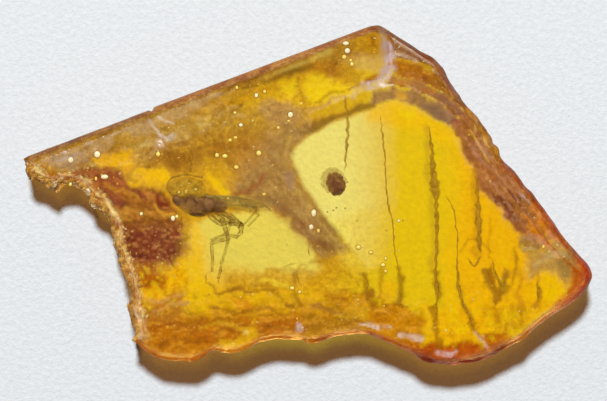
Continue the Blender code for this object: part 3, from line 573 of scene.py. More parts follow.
streaks = [  # thin lines of colour: path, half width in mm, colour, strength
    ("-3.9 -3.5, -3.4 -3.8, -2.8 -3.72, -2.2 -3.8, -1.6 -3.78, -1 -4.1, -0.6 -4.35",
     0.07, (158, 88, 26), 0.85),
    ("-2.1 -3.4, -1.7 -3.55, -1.2 -3.8", 0.06, (168, 104, 22), 0.7),
    ("-1.9 -3.3, -1.2 -3.45, -0.6 -3.65", 0.06, (236, 198, 50), 0.8),
    ("-6.1 -4.6, -5.4 -4.35, -4.7 -4.25", 0.05, (206, 150, 84), 0.8),
    ("-6.2 -4.2, -5.5 -4.05, -4.9 -3.98", 0.05, (212, 150, 80), 0.8),
    ("-6.4 -5.2, -5.6 -5, -4.8 -5.1, -4 -4.9", 0.06, (160, 90, 14), 0.8),
    ("-5.9 -5.9, -5 -5.6, -4.2 -5.7, -3.6 -5.4, -2.9 -5.2", 0.06, (164, 92, 14), 0.8),
    ("-4.2 -5.2, -3.4 -5, -2.6 -5.2, -2.1 -4.9", 0.07, (222, 166, 30), 0.8),
    ("-3.8 -4.4, -2.8 -4.6, -1.8 -4.4, -0.9 -4.7", 0.07, (162, 94, 12), 0.7),
    ("-1.8 -5.1, -0.8 -5.3, 0.2 -5.1, 1.2 -5.2, 2 -5", 0.06, (158, 96, 20), 0.7),
    ("0.1 -4.3, 0.7 -4.4, 1.2 -4.65, 1.5 -4.7", 0.08, (172, 108, 44), 0.85),
    ("1.1 -4.7, 1.6 -4.8, 2.2 -4.7", 0.05, (222, 172, 36), 0.8),
    ("0.6 -3.9, 1.4 -4, 2.2 -3.9, 3 -4.2", 0.05, (176, 108, 10), 0.7),
    ("-0.4 -2.75, 0.4 -2.6, 1.2 -2.9, 2 -3.4", 0.05, (190, 138, 26), 0.7),
    ("-1.8 -3, -0.8 -2.85, 0.2 -2.95, 1 -3.3", 0.05, (196, 144, 26), 0.7),
    ("2.9 -4.35, 3.4 -4.3, 3.9 -4.35", 0.05, (176, 98, 10), 0.8),
    ("3.9 -4.22, 4.6 -4.22", 0.05, (252, 204, 40), 0.9),
    ("2.25 -3.1, 2.4 -3.7, 2.55 -4.4", 0.12, (158, 92, 12), 0.85),
    ("2.05 -3, 2 -3.5", 0.05, (190, 140, 20), 0.7),
    ("2.95 -2.9, 2.85 -3.3, 2.75 -4, 2.6 -4.5", 0.08, (180, 122, 14), 0.7),
    ("3.58 -2.9, 3.64 -3.6, 3.6 -4.2", 0.16, (156, 90, 10), 0.85),
    ("5.05 -3, 5.1 -3.8, 4.95 -4.6, 5 -5.4, 5.1 -6", 0.14, (164, 100, 8), 0.85),
    ("5.9 -3.6, 6.05 -4.2, 6.3 -4.7, 6.5 -5.2, 6.8 -5.6", 0.11, (168, 102, 12), 0.85),
    ("4.7 -4.6, 4.8 -5.4", 0.10, (250, 190, 20), 0.7),
    ("7 -2.9, 7.2 -3.6, 7.4 -4.3, 7.6 -3.6, 7.75 -3", 0.12, (150, 96, 20), 0.85),
    ("8.2 -3, 8.3 -3.8, 8.4 -4.4", 0.08, (206, 136, 20), 0.7),
    ("9.05 -3.1, 9 -3.8, 8.9 -4.4", 0.08, (180, 112, 20), 0.8),
    ("-5.6 3.65, -4 4.2, -3 4.15, -2 4.3", 0.05, (146, 98, 28), 0.8),
    ("-4.6 3.4, -3.4 3.7, -2.2 4.1", 0.07, (206, 160, 54), 0.7),
    ("-2.9 3.2, -2.6 3.6", 0.04, (140, 84, 18), 0.8),
    ("0.1 3.6, 0.9 3.85, 1.7 4.2, 2.4 4.5", 0.05, (176, 116, 16), 0.8),
    ("0 3.2, 0.8 3.62, 1.5 3.88", 0.04, (206, 160, 90), 0.7),
    ("-0.45 4.6, -0.5 4.3, -0.3 4", 0.06, (176, 122, 14), 0.8),
    ("-3.9 1.9, -3 2, -2 1.8", 0.10, (164, 102, 20), 0.6),
    ("-4.9 1.9, -4.4 2.5, -3.4 2.8", 0.08, (170, 116, 26), 0.5),
    ("-4.55 1.75, -4.55 0.9", 0.05, (136, 82, 18), 0.7),
    ("-3 0, -2.5 0.12, -2.1 0.35, -1.7 0.75", 0.07, (158, 78, 16), 0.85),
    ("-3 -0.28, -2.5 -0.15, -2 0.02", 0.05, (214, 176, 70), 0.8),
    ("-7.7 -0.98, -6.4 -1.02, -5.2 -0.98", 0.05, (126, 72, 16), 0.8),
    ("-7.2 -2.62, -6.4 -2.62, -5.9 -2.55", 0.05, (176, 96, 60), 0.8),
    ("-9.3 0.75, -8.7 0.6, -8.2 0.3", 0.05, (196, 116, 50), 0.8),
    ("6.4 2, 6.8 1.5, 7.5 1.1, 8.1 0.3", 0.05, (186, 122, 84), 0.7),
    ("6.7 1.2, 7.3 0.7, 7.9 -0.1", 0.06, (176, 98, 44), 0.7),
    ("6.6 0.9, 6.62 0.1, 6.6 -0.6", 0.07, (176, 116, 12), 0.6),
    ("7.1 -0.9, 7.05 -2, 7.15 -2.9, 7.35 -3.9, 7.4 -4.9, 7.3 -5.4", 0.07, (184, 116, 6), 0.50),
    ("6 -2.2, 6.2 -1.85, 6.6 -1.75, 6.95 -1.9, 7.1 -2.3", 0.05, (186, 116, 8), 0.75),
    ("8 -1.9, 8.15 -2.6, 7.95 -3.3, 7.6 -3.9, 7.25 -3.4, 7.15 -2.7", 0.07, (160, 100, 12), 0.75),
    ("-0.55 -3, -0.5 -3.6, -0.3 -4.4", 0.09, (150, 92, 20), 0.75),
    ("2.62 5.98, 2.86 5.56, 2.93 5.1, 2.75 4.72, 2.35 4.46", 0.14, (176, 96, 8), 0.90),
    ("5.4 -2.2, 5.5 -3.4, 5.4 -4.6", 0.12, (246, 190, 2), 0.6),
    ("4.66 2.6, 4.7 1.8, 4.76 0.9, 4.84 0, 4.9 -1, 4.94 -2, 4.9 -3", 0.15, (198, 152, 24), 0.60),
    ("6.52 0.9, 6.55 -0.2, 6.58 -1.4, 6.66 -2.4", 0.13, (194, 132, 14), 0.60),
    ("-9 0.72, -8.4 0.56, -7.9 0.62", 0.12, (150, 66, 56), 0.70),
    ("-8.3 0.05, -7.7 -0.1, -7.3 -0.35", 0.14, (126, 52, 52), 0.75),
    ("-6.9 0.1, -6.4 0", 0.10, (138, 48, 50), 0.70),
    ("-7.75 -0.75, -7 -0.62, -6.2 -0.72", 0.08, (196, 138, 56), 0.60),
    ("-7.9 0.38, -7.2 0.16, -6.6 -0.16", 0.07, (206, 144, 44), 0.70),
    ("-6 -0.35, -5.6 -0.78, -5.1 -0.82", 0.07, (222, 160, 50), 0.65),
    ("-0.78 0.82, -0.56 0.42", 0.14, (152, 116, 104), 0.70),
    ("-2.2 -0.1, -1.2 -0.35, -0.4 -1, 0.3 -1.7, 0.9 -2.1", 0.11, (136, 88, 50), 0.70),
    ("5.6 -4.4, 6 -5.3", 0.16, (250, 196, 4), 0.6),
    ("-8 1.25, -7.5 1.42, -7.05 1.5", 0.22, (246, 184, 10), 0.75),
]


flows = [  # shape, direction of the grain in degrees, its length and width in mm, dark, light, amount
    ("5.5 3.5, 6.3 3.6, 6.5 2.4, 7 1.6, 7.8 1.2, 9.1 0, 10.6 -2, 9.6 -2.5, 8.3 -1.7, 7.1 -0.1, 6.3 1.2, "
     "5.5 2.8", -52, 1.6, 0.10, (112, 34, 26), (214, 150, 112), 0.45),
    ("-6.9 -3.6, -3 -3.8, 2.4 -3.7, 4.4 -4.3, 4.4 -6.6, -7 -6.8",
     7, 0.9, 0.11, (136, 66, 8), (234, 166, 44), 0.48),
    ("-11.2 1.2, -6 3.6, -2.8 4.9, -2.6 3, -7 1.2, -10.2 0.9",
     22, 0.8, 0.11, (120, 68, 18), (222, 186, 118), 0.50),
    ("-2.8 4.9, 2.4 6.6, 2.8 4.5, 1 3.4, -2 2.8, -5 1, -6.4 1.2, -4 3.2",
     24, 1.0, 0.13, (140, 84, 14), (240, 190, 50), 0.20),
    ("-7.9 -1.3, -6.4 -1.2, -4.7 -1.2, -4.6 -2.4, -5.4 -2.9, -7.7 -3",
     4, 0.22, 0.08, (96, 26, 46), (206, 140, 84), 0.60),
    ("-10 0.9, -8.4 1.3, -6.9 0.9, -5.2 0.2, -4.7 -1.2, -7.9 -1.3, -8.9 0",
     -32, 0.5, 0.10, (104, 28, 44), (192, 124, 60), 0.60),
    ("8.4 -1.9, 9.2 -2.5, 8.9 -3.3, 9.2 -4.4, 8.9 -5, 7 -5.9, 5.4 -6, 5.4 -4.4, 6.8 -3.2, 7.6 -2.4",
     82, 0.55, 0.20, (188, 112, 2), (255, 204, 0), 0.38),
    ("-3.1 0.4, -1.6 2.6, 0.3 3, -0.6 1.4, 0.4 -0.6, 1.7 -2.3, 0.3 -2.4, -1.4 -0.5",
     -48, 0.8, 0.11, (122, 66, 24), (212, 172, 104), 0.40),
    ("2.7 6.5, 5 5.3, 6.1 3.6, 4.6 3.9, 3.1 4.3", -36, 1.2, 0.14, (118, 54, 10), (200, 130, 44), 0.22),
    ("-7.1 -2.7, -4.6 -2.7, -4.4 -4.6, -6.9 -4.6", -70, 0.5, 0.14, (178, 98, 6), (255, 206, 20), 0.50),
]
calmAreas = [
    "-0.8 1.3, -0.4 2.2, 1.4 3.1, 3.2 3.9, 5 3.2, 6.2 1.4, 7 -0.6, 5 -2.4, 2.6 -2.8, 0.6 -1",
    "-2.6 4, 1 5.2, 2.9 4.4, 3 5.8, 1.2 6.1, -2.8 4.8",
]
# how far stains are pushed about, and how far the slope of the break moves what is seen under it, mm
warp = {"broad": 0.17, "broadScale": 0.6, "fine": 0.05, "fineScale": 0.16, "slopeShift": 0.30}


def gel(colour):
    # what the resin must let through so that paper behind it shows this colour
    return np.clip(linear(colour) / linear(clearest), 0.0, 1.0) ** 2


def warped(points):
    # the points pushed about, so that no stain has a straight border; the clear window stays calm
    inside = np.max([areaDepth(points, placed(area)) for area in calmAreas], axis=0)
    calm = 1 - 0.85 * smoothStep(inside / 0.5 + 0.5)
    push = np.stack([
        warp["broad"] * roughness(points, warp["broadScale"], 51.0 + n, 2)
        + warp["fine"] * roughness(points, warp["fineScale"], 55.0 + n, 2) for n in (0, 1)
    ], axis=1)
    outside = pathSide(points, breakCurve)
    nearest = np.argmin(np.linalg.norm(points[:, None, :] - breakCurve[None, ::6, :], axis=2), axis=1) * 6
    bent = np.where(outside > 0.02, warp["slopeShift"] * breakFade(points), 0)
    return points + push * calm[:, None] + outward[nearest] * bent[:, None]


def stainColours(places):
    # tint of the underside, with the amount of mottling as its alpha
    points = warped(places)
    wobble = roughness(points, 0.55, 12.0, 4)
    tint = np.tile([*gel(groundColour), groundMottling], (len(points), 1))
    for name, colour, soft, strength, amount, mottling, shape in stains:
        depth = areaDepth(points, placed(shape)) + amount * wobble
        share = (smoothStep(depth / soft + 0.5) * strength)[:, None]
        tint = tint * (1 - share) + np.array([*gel(colour), mottling]) * share
    for n, (shape, direction, length, width, dark, light, amount) in enumerate(flows):
        c, s = math.cos(math.radians(direction)), math.sin(math.radians(direction))
        along, across = points[:, 0] * c + points[:, 1] * s, points[:, 1] * c - points[:, 0] * s
        grain = roughness(np.column_stack([along / length, across / width]), 1.0, 70.0 + 3 * n, 3)
        within = smoothStep(areaDepth(points, placed(shape)) / 0.4 + 0.5) * amount
        for tone, side in ((dark, 1), (light, -1)):
            share = (smoothStep((side * grain - 0.05) / 0.45) * within)[:, None]
            tint[:, :3] = tint[:, :3] * (1 - share) + gel(tone) * share
    for path, width, colour, strength in streaks:
        line = curveThrough(placed(path), 0.2)
        depth = width * (1 + 0.8 * wobble) - pathDistance(points, line)
        share = (smoothStep(depth / (0.9 * width) + 0.5) * strength)[:, None]
        tint[:, :3] = tint[:, :3] * (1 - share) + gel(colour) * share
    return tint


# materials

def newMaterial(name):
    material = bpy.data.materials.new(name)
    material.use_nodes = True
    material.node_tree.nodes.clear()
    return material, material.node_tree


def node(tree, kind, inputs=None, **settings):
    made = tree.nodes.new(kind)
    for key, value in settings.items():
        setattr(made, key, value)
    for key, value in (inputs or {}).items():
        if isinstance(value, bpy.types.NodeSocket):
            tree.links.new(value, made.inputs[key])
        else:
            made.inputs[key].default_value = value
    return made


def blend(tree, factor, first, second, **settings):
    # the output that mixes two colours
    inputs = {"Factor": factor, 6: first, 7: second}
    return node(tree, "ShaderNodeMix", inputs, data_type="RGBA", **settings).outputs[2]


def maths(tree, operation, *values, **settings):
    inputs = dict(enumerate(values))
    return node(tree, "ShaderNodeMath", inputs, operation=operation, **settings).outputs[0]


def attribute(tree, name, output="Color"):
    return node(tree, "ShaderNodeAttribute", attribute_name=name).outputs[output]


def surfaceOut(tree, shader):
    node(tree, "ShaderNodeOutputMaterial", {"Surface": shader.outputs[0]})


def cloudGroup():
    # mottling that every part of the resin shares: a value from 0 to 1, and a fine height
    group = bpy.data.node_groups.new("resinClouds", "ShaderNodeTree")
    face = group.interface
    for name, start in (("Cloud Size", 900.0), ("Cloud Contrast", 1.6), ("Grain Size", 9000.0)):
        face.new_socket(name, in_out="INPUT", socket_type="NodeSocketFloat").default_value = start
    face.new_socket("Cloud", in_out="OUTPUT", socket_type="NodeSocketFloat")
    face.new_socket("Grain", in_out="OUTPUT", socket_type="NodeSocketFloat")
    entry, leave = group.nodes.new("NodeGroupInput"), group.nodes.new("NodeGroupOutput")
    place = node(group, "ShaderNodeTexCoord").outputs["Object"]
    clouds = node(group, "ShaderNodeTexNoise", {
        "Vector": place, "Scale": entry.outputs["Cloud Size"],
        "Detail": 6.0, "Roughness": 0.62, "Distortion": 0.6,
    })
    centred = maths(group, "SUBTRACT", clouds.outputs["Fac"], 0.5)
    pushed = maths(group, "MULTIPLY_ADD", centred, entry.outputs["Cloud Contrast"], 0.5, use_clamp=True)
    grain = node(group, "ShaderNodeTexNoise", {
        "Vector": place, "Scale": entry.outputs["Grain Size"], "Detail": 3.0, "Roughness": 0.7,
    })
    group.links.new(pushed, leave.inputs["Cloud"])
    group.links.new(grain.outputs["Fac"], leave.inputs["Grain"])
    return group


clouds = cloudGroup()


def clouding(tree, size, contrast, grain=9000.0):
    made = node(tree, "ShaderNodeGroup", node_tree=clouds)
    for key, value in (("Cloud Size", size), ("Cloud Contrast", contrast), ("Grain Size", grain)):
        made.inputs[key].default_value = value
    return made


resin = {
    "ior": 1.54, "roughness": 0.12, "frosted": 0.45, "scratch": 0.12,
    "absorbs": (0.985, 0.875, 0.03), "density": 240.0,
    "mottling": [  # clouds to a metre, contrast, darkest and lightest share of the stain
        (1500.0, 2.2, (0.62, 0.48, 0.36), (1.38, 1.46, 1.20)),
        (5200.0, 2.8, (0.62, 0.50, 0.42), (1.42, 1.50, 1.25)),
        (15000.0, 3.0, (0.66, 0.56, 0.48), (1.38, 1.46, 1.25)),
    ],
}


def amberMaterial():
    material, tree = newMaterial("clear amber")
    stain = node(tree, "ShaderNodeAttribute", attribute_name="stain")
    cloud = clouding(tree, 1100.0, 2.2)
    colour = stain.outputs["Color"]
    for size, contrast, dark, light in resin["mottling"]:
        patch = blend(tree, clouding(tree, size, contrast).outputs["Cloud"], (*dark, 1), (*light, 1))
        amount = blend(tree, stain.outputs["Alpha"], (1, 1, 1, 1), patch)
        colour = blend(tree, 1.0, colour, amount, blend_type="MULTIPLY", clamp_result=True)
    bump = node(tree, "ShaderNodeBump", {
        "Height": cloud.outputs["Grain"], "Strength": resin["scratch"], "Distance": 0.00002,
    })
    rough = node(tree, "ShaderNodeMapRange", {
        "Value": attribute(tree, "frost", "Fac"), "To Min": resin["roughness"], "To Max": resin["frosted"],
    })
    shader = node(tree, "ShaderNodeBsdfPrincipled", {
        "Base Color": colour, "Roughness": rough.outputs[0], "IOR": resin["ior"],
        "Transmission Weight": 1.0, "Normal": bump.outputs[0],
    })
    # light on its way to the paper and the gnat passes straight through
    lamp = node(tree, "ShaderNodeBsdfTransparent", {"Color": attribute(tree, "shade")})
    path = node(tree, "ShaderNodeLightPath")
    straight = maths(tree, "MAXIMUM", path.outputs["Is Shadow Ray"], path.outputs["Is Diffuse Ray"])
    both = node(tree, "ShaderNodeMixShader", {0: straight, 1: shader.outputs[0], 2: lamp.outputs[0]})
    inside = node(tree, "ShaderNodeVolumeAbsorption", {
        "Color": (*resin["absorbs"], 1), "Density": resin["density"],
    })
    node(tree, "ShaderNodeOutputMaterial", {"Surface": both.outputs[0], "Volume": inside.outputs[0]})
    return material


def filmMaterial(name, size, contrast, roughnessValue=0.6, detail=1.0):
    # a thin film whose colour and cover come from the mesh, broken up by clouds
    material, tree = newMaterial(name)
    colour = node(tree, "ShaderNodeAttribute", attribute_name="stain")
    cloud = clouding(tree, size, contrast)
    share = maths(tree, "MULTIPLY_ADD", cloud.outputs["Cloud"], detail, 1 - detail)
    cover = maths(tree, "MULTIPLY", colour.outputs["Alpha"], share, use_clamp=True)
    shader = node(tree, "ShaderNodeBsdfPrincipled", {
        "Base Color": colour.outputs["Color"], "Roughness": roughnessValue, "Alpha": cover,
        "Specular IOR Level": 0.2,
    })
    surfaceOut(tree, shader)
    return material


def solidMaterial(name, dark, light, roughnessValue, size, contrast, alpha, edge, fadeEnd=0.75, patchy=0.0):
    # mottled between two colours; edge is the alpha where the surface turns away, patchy thins it in clouds
    material, tree = newMaterial(name)
    cloud = clouding(tree, size, contrast)
    colour = blend(tree, cloud.outputs["Cloud"], (*linear(dark), 1), (*linear(light), 1))
    grain = {"Height": cloud.outputs["Grain"], "Strength": 0.4, "Distance": 0.00003}
    bump = node(tree, "ShaderNodeBump", grain)
    facing = node(tree, "ShaderNodeLayerWeight", {"Blend": 0.4})
    cover = node(tree, "ShaderNodeMapRange", {
        "Value": facing.outputs["Facing"],
        "From Min": 0.08, "From Max": fadeEnd, "To Min": alpha, "To Max": edge,
    })
    thinner = clouding(tree, size * 0.8, contrast).outputs["Cloud"]
    kept = maths(tree, "MULTIPLY_ADD", thinner, -patchy, 1.0)
    shader = node(tree, "ShaderNodeBsdfPrincipled", {
        "Base Color": colour, "Roughness": roughnessValue, "Normal": bump.outputs[0],
        "Alpha": maths(tree, "MULTIPLY", cover.outputs[0], kept, use_clamp=True), "Specular IOR Level": 0.1,
    })
    surfaceOut(tree, shader)
    return material


# the amber

amberLight = {
    "gathered": 1.07,  # each face passes this much: the chip gathers more light than falls on it from above
    "sawnSide": (0.86, 0.74, 0.44),  # walls that face the lamp
    "darkSide": (0.20, 0.085, 0.022),  # top and foot of the walls that throw the shadow
    "darkFoot": (0.33, 0.155, 0.028),
    "oliveFoot": (0.42, 0.27, 0.030),  # the same along the hollow of the lower edge, and where that lies
    "oliveMiddle": 0.2, "oliveHalf": 3.4,
    "wallMottling": 0.6,
    "wallFrost": (0.45, 0.55),  # of every wall, and what crumbling adds
    "breakFrost": 1.0,  # dulls the lamp's glint where the break starts
}

verts, faces, where, facing, rings, into, props = chipMesh()
amber = makePiece("amber", verts, faces, [amberMaterial()])
amber.data.set_sharp_from_angle(angle=math.radians(32))
flat = verts[:, :2]
onCrease = (where > 1) & (np.minimum(pathDistance(flat, breakCurve), pathDistance(flat, lowerCrease)) < 0.004)
for edge in amber.data.edges:
    if onCrease[edge.vertices[0]] and onCrease[edge.vertices[1]]:
        edge.use_edge_sharp = True
tint = np.ones((len(verts), 4))
low = where < 0
wall = (where >= 0) & (where <= 1)
tint[low] = stainColours(flat[low])
tint[where > 1, 3] = 0.0
ringCount = len(rings)
crumbDepths = np.tile(props[:, 3], ringCount)
wallColour = np.tile(0.45 * props[:, 4:7] + 0.55 * props[:, 7:10], (ringCount, 1))
tint[wall, :3] = (wallColour / linear(paperColour)) ** 1.2
tint[wall, 3] = amberLight["wallMottling"]
paint(amber, "stain", tint)
shade = np.full((len(verts), 3), amberLight["gathered"])
lit = smoothStep(0.5 + 0.9 * facing[wall, 1])[:, None]
height = smoothStep(verts[wall, 2] / 1.5)[:, None]
fromOlive = np.abs(verts[wall, 0] - amberLight["oliveMiddle"]) / amberLight["oliveHalf"]
olive = smoothStep(1.3 - fromOlive)[:, None]
foot = np.array(amberLight["darkFoot"]) * (1 - olive) + np.array(amberLight["oliveFoot"]) * olive
unlit = foot * (1 - height) + np.array(amberLight["darkSide"]) * height
shade[wall] = unlit * (1 - lit) + np.array(amberLight["sawnSide"]) * lit
shade[wall & (where > (chip["wallRows"] - 0.5) / (ringCount - 1))] = 1.0
paint(amber, "shade", shade)
frost = np.zeros(len(verts))
leastFrost, crumbFrost = amberLight["wallFrost"]
frost[wall] = leastFrost + np.clip(crumbDepths * 6, 0, 1) * crumbFrost
atTop = where > 1
fade = breakFade(flat[atTop])
pastCrest = smoothStep(pathSide(flat[atTop], breakCurve) / 0.2 + 1)
frost[atTop] = np.clip(6 * fade * (1 - fade), 0, 1) * pastCrest * amberLight["breakFrost"]
mask(amber, "frost", frost)
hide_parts("amber_lower", "amber_upper")
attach(amber, "root")
print("amber:", len(verts), "points,", len(faces), "faces")


# the old skin on the edge

rimSkin = {
    "under": 0.012,  # how far inside the surface it lies, mm
    "inwardRows": 7,  # rows across the face, each wider than the last
    "grain": 0.10,  # size of its light and dark grains, mm
    "patches": 0.42,
    "tones": ([0, 4, 7, 11, 18], [0.55, 0.60, 0.95, 1.15, 1.10]),  # brightness by row, from the wall inward
}


def rimSkinMesh():
    firstRow = chip["wallRows"] - 4
    sunk = np.column_stack([-into, np.zeros(len(into))]) * rimSkin["under"]
    rows = [ring - sunk for ring in rings[firstRow:]]
    for row in rows[1:]:
        row[:, 2] -= rimSkin["under"] * 0.5
    inner = rows[-1][:, :2]
    reach = props[:, 10]
    for k in range(1, rimSkin["inwardRows"] + 1):
        along = (k / rimSkin["inwardRows"]) ** 1.3
        place = untangled(relaxed(inner + into * (reach * along)[:, None], 2))
        rows.append(np.column_stack([place, topHeight(place) - rimSkin["under"]]))
    inward = (np.arange(rimSkin["inwardRows"]) + 1) / rimSkin["inwardRows"]
    points = np.concatenate(rows)
    count = len(into)
    faces = ringFaces(len(rows), count)
    across = np.repeat(np.concatenate([np.zeros(len(rings) - firstRow), inward]), count)
    grain = roughness(points, rimSkin["grain"], 81.0, 2)
    grain += 0.8 * roughness(points, rimSkin["patches"], 84.0, 2)
    light = smoothStep(0.42 + 1.5 * grain)[:, None]
    look = np.tile(props, (len(rows), 1))
    tone = np.repeat(np.interp(np.arange(len(rows)), *rimSkin["tones"]), count)[:, None]
    colour = np.clip((look[:, 4:7] * (1 - light) + look[:, 7:10] * light) * tone, 0, 1)
    torn = 0.5 * roughness(points, 0.3, 87.0, 3)
    cover = look[:, 11] * smoothStep(1.25 - across * 1.25 + torn * (across > 0))
    cover[-count:] = 0.0
    return points, faces, np.column_stack([colour, cover])


points, skinFaces, colours = rimSkinMesh()
skin = makePiece("rim_skin", points, skinFaces, [
    filmMaterial("old skin", 9000.0, 3.0, roughnessValue=0.55, detail=0.5),
])
paint(skin, "stain", colours)
skin.visible_shadow = False
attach(skin, "root")
print("skin:", len(points), "points")


# films: whitish scar marks just under the surface, with painted highlights and reflections of the lamp among
# them, and faint stains deeper in

# whitish scar marks, and among them painted highlights and reflections, each marked below
scarsAndGlints = [  # path, half width, colour, cover
    # painted reflection: the lilac-white crescent and its tail, where the lamp glints on the start of the
    # break
    ("2.58 6.44, 2.94 6.14, 3.05 5.62", 0.10, (200, 172, 168), 0.75),
    ("3.05 5.7, 3.16 5.2, 3.17 4.94, 3.02 4.62", 0.22, (198, 176, 184), 0.88),
    ("3.02 4.7, 2.65 4.31, 2.2 4.14", 0.15, (200, 178, 180), 0.85),
    ("2.25 4.16, 1.85 4.02, 1.75 3.84", 0.11, (214, 184, 150), 0.70),
    ("2.1 4.3, 2.02 4.08", 0.07, (226, 204, 180), 0.70),
    # painted reflection: the light line along the second crease of the break
    ("3.1 5.42, 3.6 5.44, 4.2 5.2", 0.06, (214, 180, 150), 0.65),
    # painted highlight: the thin light line along the crest of the break
    ("0 3.12, 1 3.6, 1.9 3.95, 2.5 4.15, 3.1 4.24, 3.7 4.24, 4.3 4, 4.9 3.7, 5.3 3.45, 6.1 3.2",
     0.04, (225, 190, 150), 0.45),
    # painted highlight: the small white glint of the lamp on the crest
    ("2.85 4.22, 3.25 4.26", 0.05, (255, 240, 230), 0.9),
    ("3.3 4.48, 3.9 4.44, 4.35 4.24, 4.8 4", 0.22, (166, 94, 14), 0.85),
    ("4.75 4.04, 5.2 3.72, 5.65 3.3", 0.18, (140, 74, 24), 0.80),
    # painted highlight: the whitish streak along the upper right edge, where the light line of the second
    # crease runs on
    ("4.9 4.86, 5.2 4.62, 5.48 4.26", 0.09, (216, 186, 176), 0.70),
    ("5.45 4.3, 5.75 3.85, 6.05 3.5", 0.04, (206, 160, 120), 0.55),
    ("-6.08 3.3, -5.75 3, -5.22 2.76", 0.07, (228, 210, 196), 0.75),
    ("-6.1 2.9, -5.86 2.52, -5.5 2.2, -5.2 2.2", 0.07, (224, 204, 186), 0.75),
    ("-5.42 2.16, -5.2 2.3", 0.10, (236, 222, 206), 0.75),
    ("-10.15 1.46, -9.75 1.6, -9.35 1.66", 0.06, (226, 206, 200), 0.80),
    ("-9.7 1.3, -9.25 1.46, -8.9 1.62", 0.05, (214, 190, 176), 0.65),
    ("-8.62 2.05, -8.48 2.1", 0.15, (216, 200, 186), 0.75),
    ("-7.6 2.3, -7 2.62, -6.5 2.84", 0.06, (206, 182, 150), 0.55),
    ("7.95 0.66, 8.2 0.34, 8.28 0.05, 8.62 -0.28", 0.10, (214, 170, 160), 0.70),
    # painted reflection: thin lilac streaks of sheen across the red band on the right
    ("6.45 2.1, 6.85 1.62, 7.35 1.2", 0.05, (206, 150, 120), 0.55),
    ("6.3 1.8, 6.62 1.38, 7.05 1.02", 0.04, (196, 130, 100), 0.50),
    ("8.3 -1.66, 8.75 -1.62, 9 -1.9", 0.07, (190, 140, 110), 0.55),
    ("8.3 -2.1, 8.8 -2.06", 0.06, (200, 160, 130), 0.50),
    ("8.75 -2.7, 9.4 -2.3, 9.95 -2.3", 0.10, (196, 176, 120), 0.45),
    ("2.06 -5.1, 2.4 -5.06, 2.66 -5.16", 0.13, (228, 212, 200), 0.80),
    ("2.9 -5.06, 3.2 -5.08", 0.05, (226, 200, 170), 0.70),
    ("3.55 -5.42, 3.95 -5.46, 4.35 -5.54", 0.11, (226, 208, 196), 0.80),
    ("4.95 -6.06, 5.2 -6.16, 5.56 -6.14", 0.09, (222, 196, 190), 0.85),
    ("5.1 -6.42, 5.4 -6.36, 5.7 -6.02", 0.07, (216, 190, 184), 0.75),
    ("6.45 -5.3, 6.7 -5.62, 6.92 -5.92", 0.06, (216, 180, 160), 0.70),
    ("6.75 -5.42, 6.88 -5.86", 0.04, (224, 190, 170), 0.60),
    ("7.66 -5.86, 7.84 -5.74", 0.06, (230, 210, 180), 0.70),
    ("-0.36 -5.1, -0.3 -5.5", 0.13, (224, 204, 196), 0.90),
    ("-1.34 -5.46, -1 -5.42", 0.10, (228, 208, 196), 0.85),
    ("-1.66 -5.5, -1.54 -5.5", 0.06, (232, 214, 190), 0.70),
    # painted highlights: two small bright yellow glints near the lower edge
    ("-2.42 -5.28, -2.36 -5.32", 0.07, (255, 240, 120), 0.80),
    ("-2.94 -5.76, -2.86 -5.74", 0.06, (255, 236, 120), 0.80),
    ("-7.34 -2.2, -7.18 -2.9, -6.9 -3.6", 0.06, (228, 200, 170), 0.70),
    ("-6.86 -3.9, -6.76 -4.3, -6.62 -4.7", 0.10, (232, 208, 176), 0.70),
    ("-6.6 -4.9, -6.4 -5.1, -6.2 -5.4", 0.08, (240, 200, 110), 0.65),
]
hazes = [  # shape, soft edge, colour, cover
    ("-10.2 1.3, -9.6 1.9, -8.6 2.2, -7.6 2.5, -7.4 2, -8.4 1.4, -9.6 1", 0.4, (214, 186, 150), 0.42),
    ("-7.4 2.6, -6 3.2, -3.5 4.2, -3.3 3.9, -5 2.9, -6.6 2.3", 0.4, (205, 176, 140), 0.45),
    ("-6.9 -5.6, -6.9 -4.2, -7.1 -3.4, -6.6 -3.4, -6.4 -4.6, -6.3 -5.6", 0.3, (226, 190, 140), 0.5),
    ("-3.3 0.4, -1 3, 0.3 3, -0.8 1.6, -0.5 0.4, 0.8 -1.4, 0 -2.2, -1.8 -0.4", 0.6, (176, 128, 70), 0.35),
]


filmMargin = 0.30  # how far the films stay inside the edge, mm


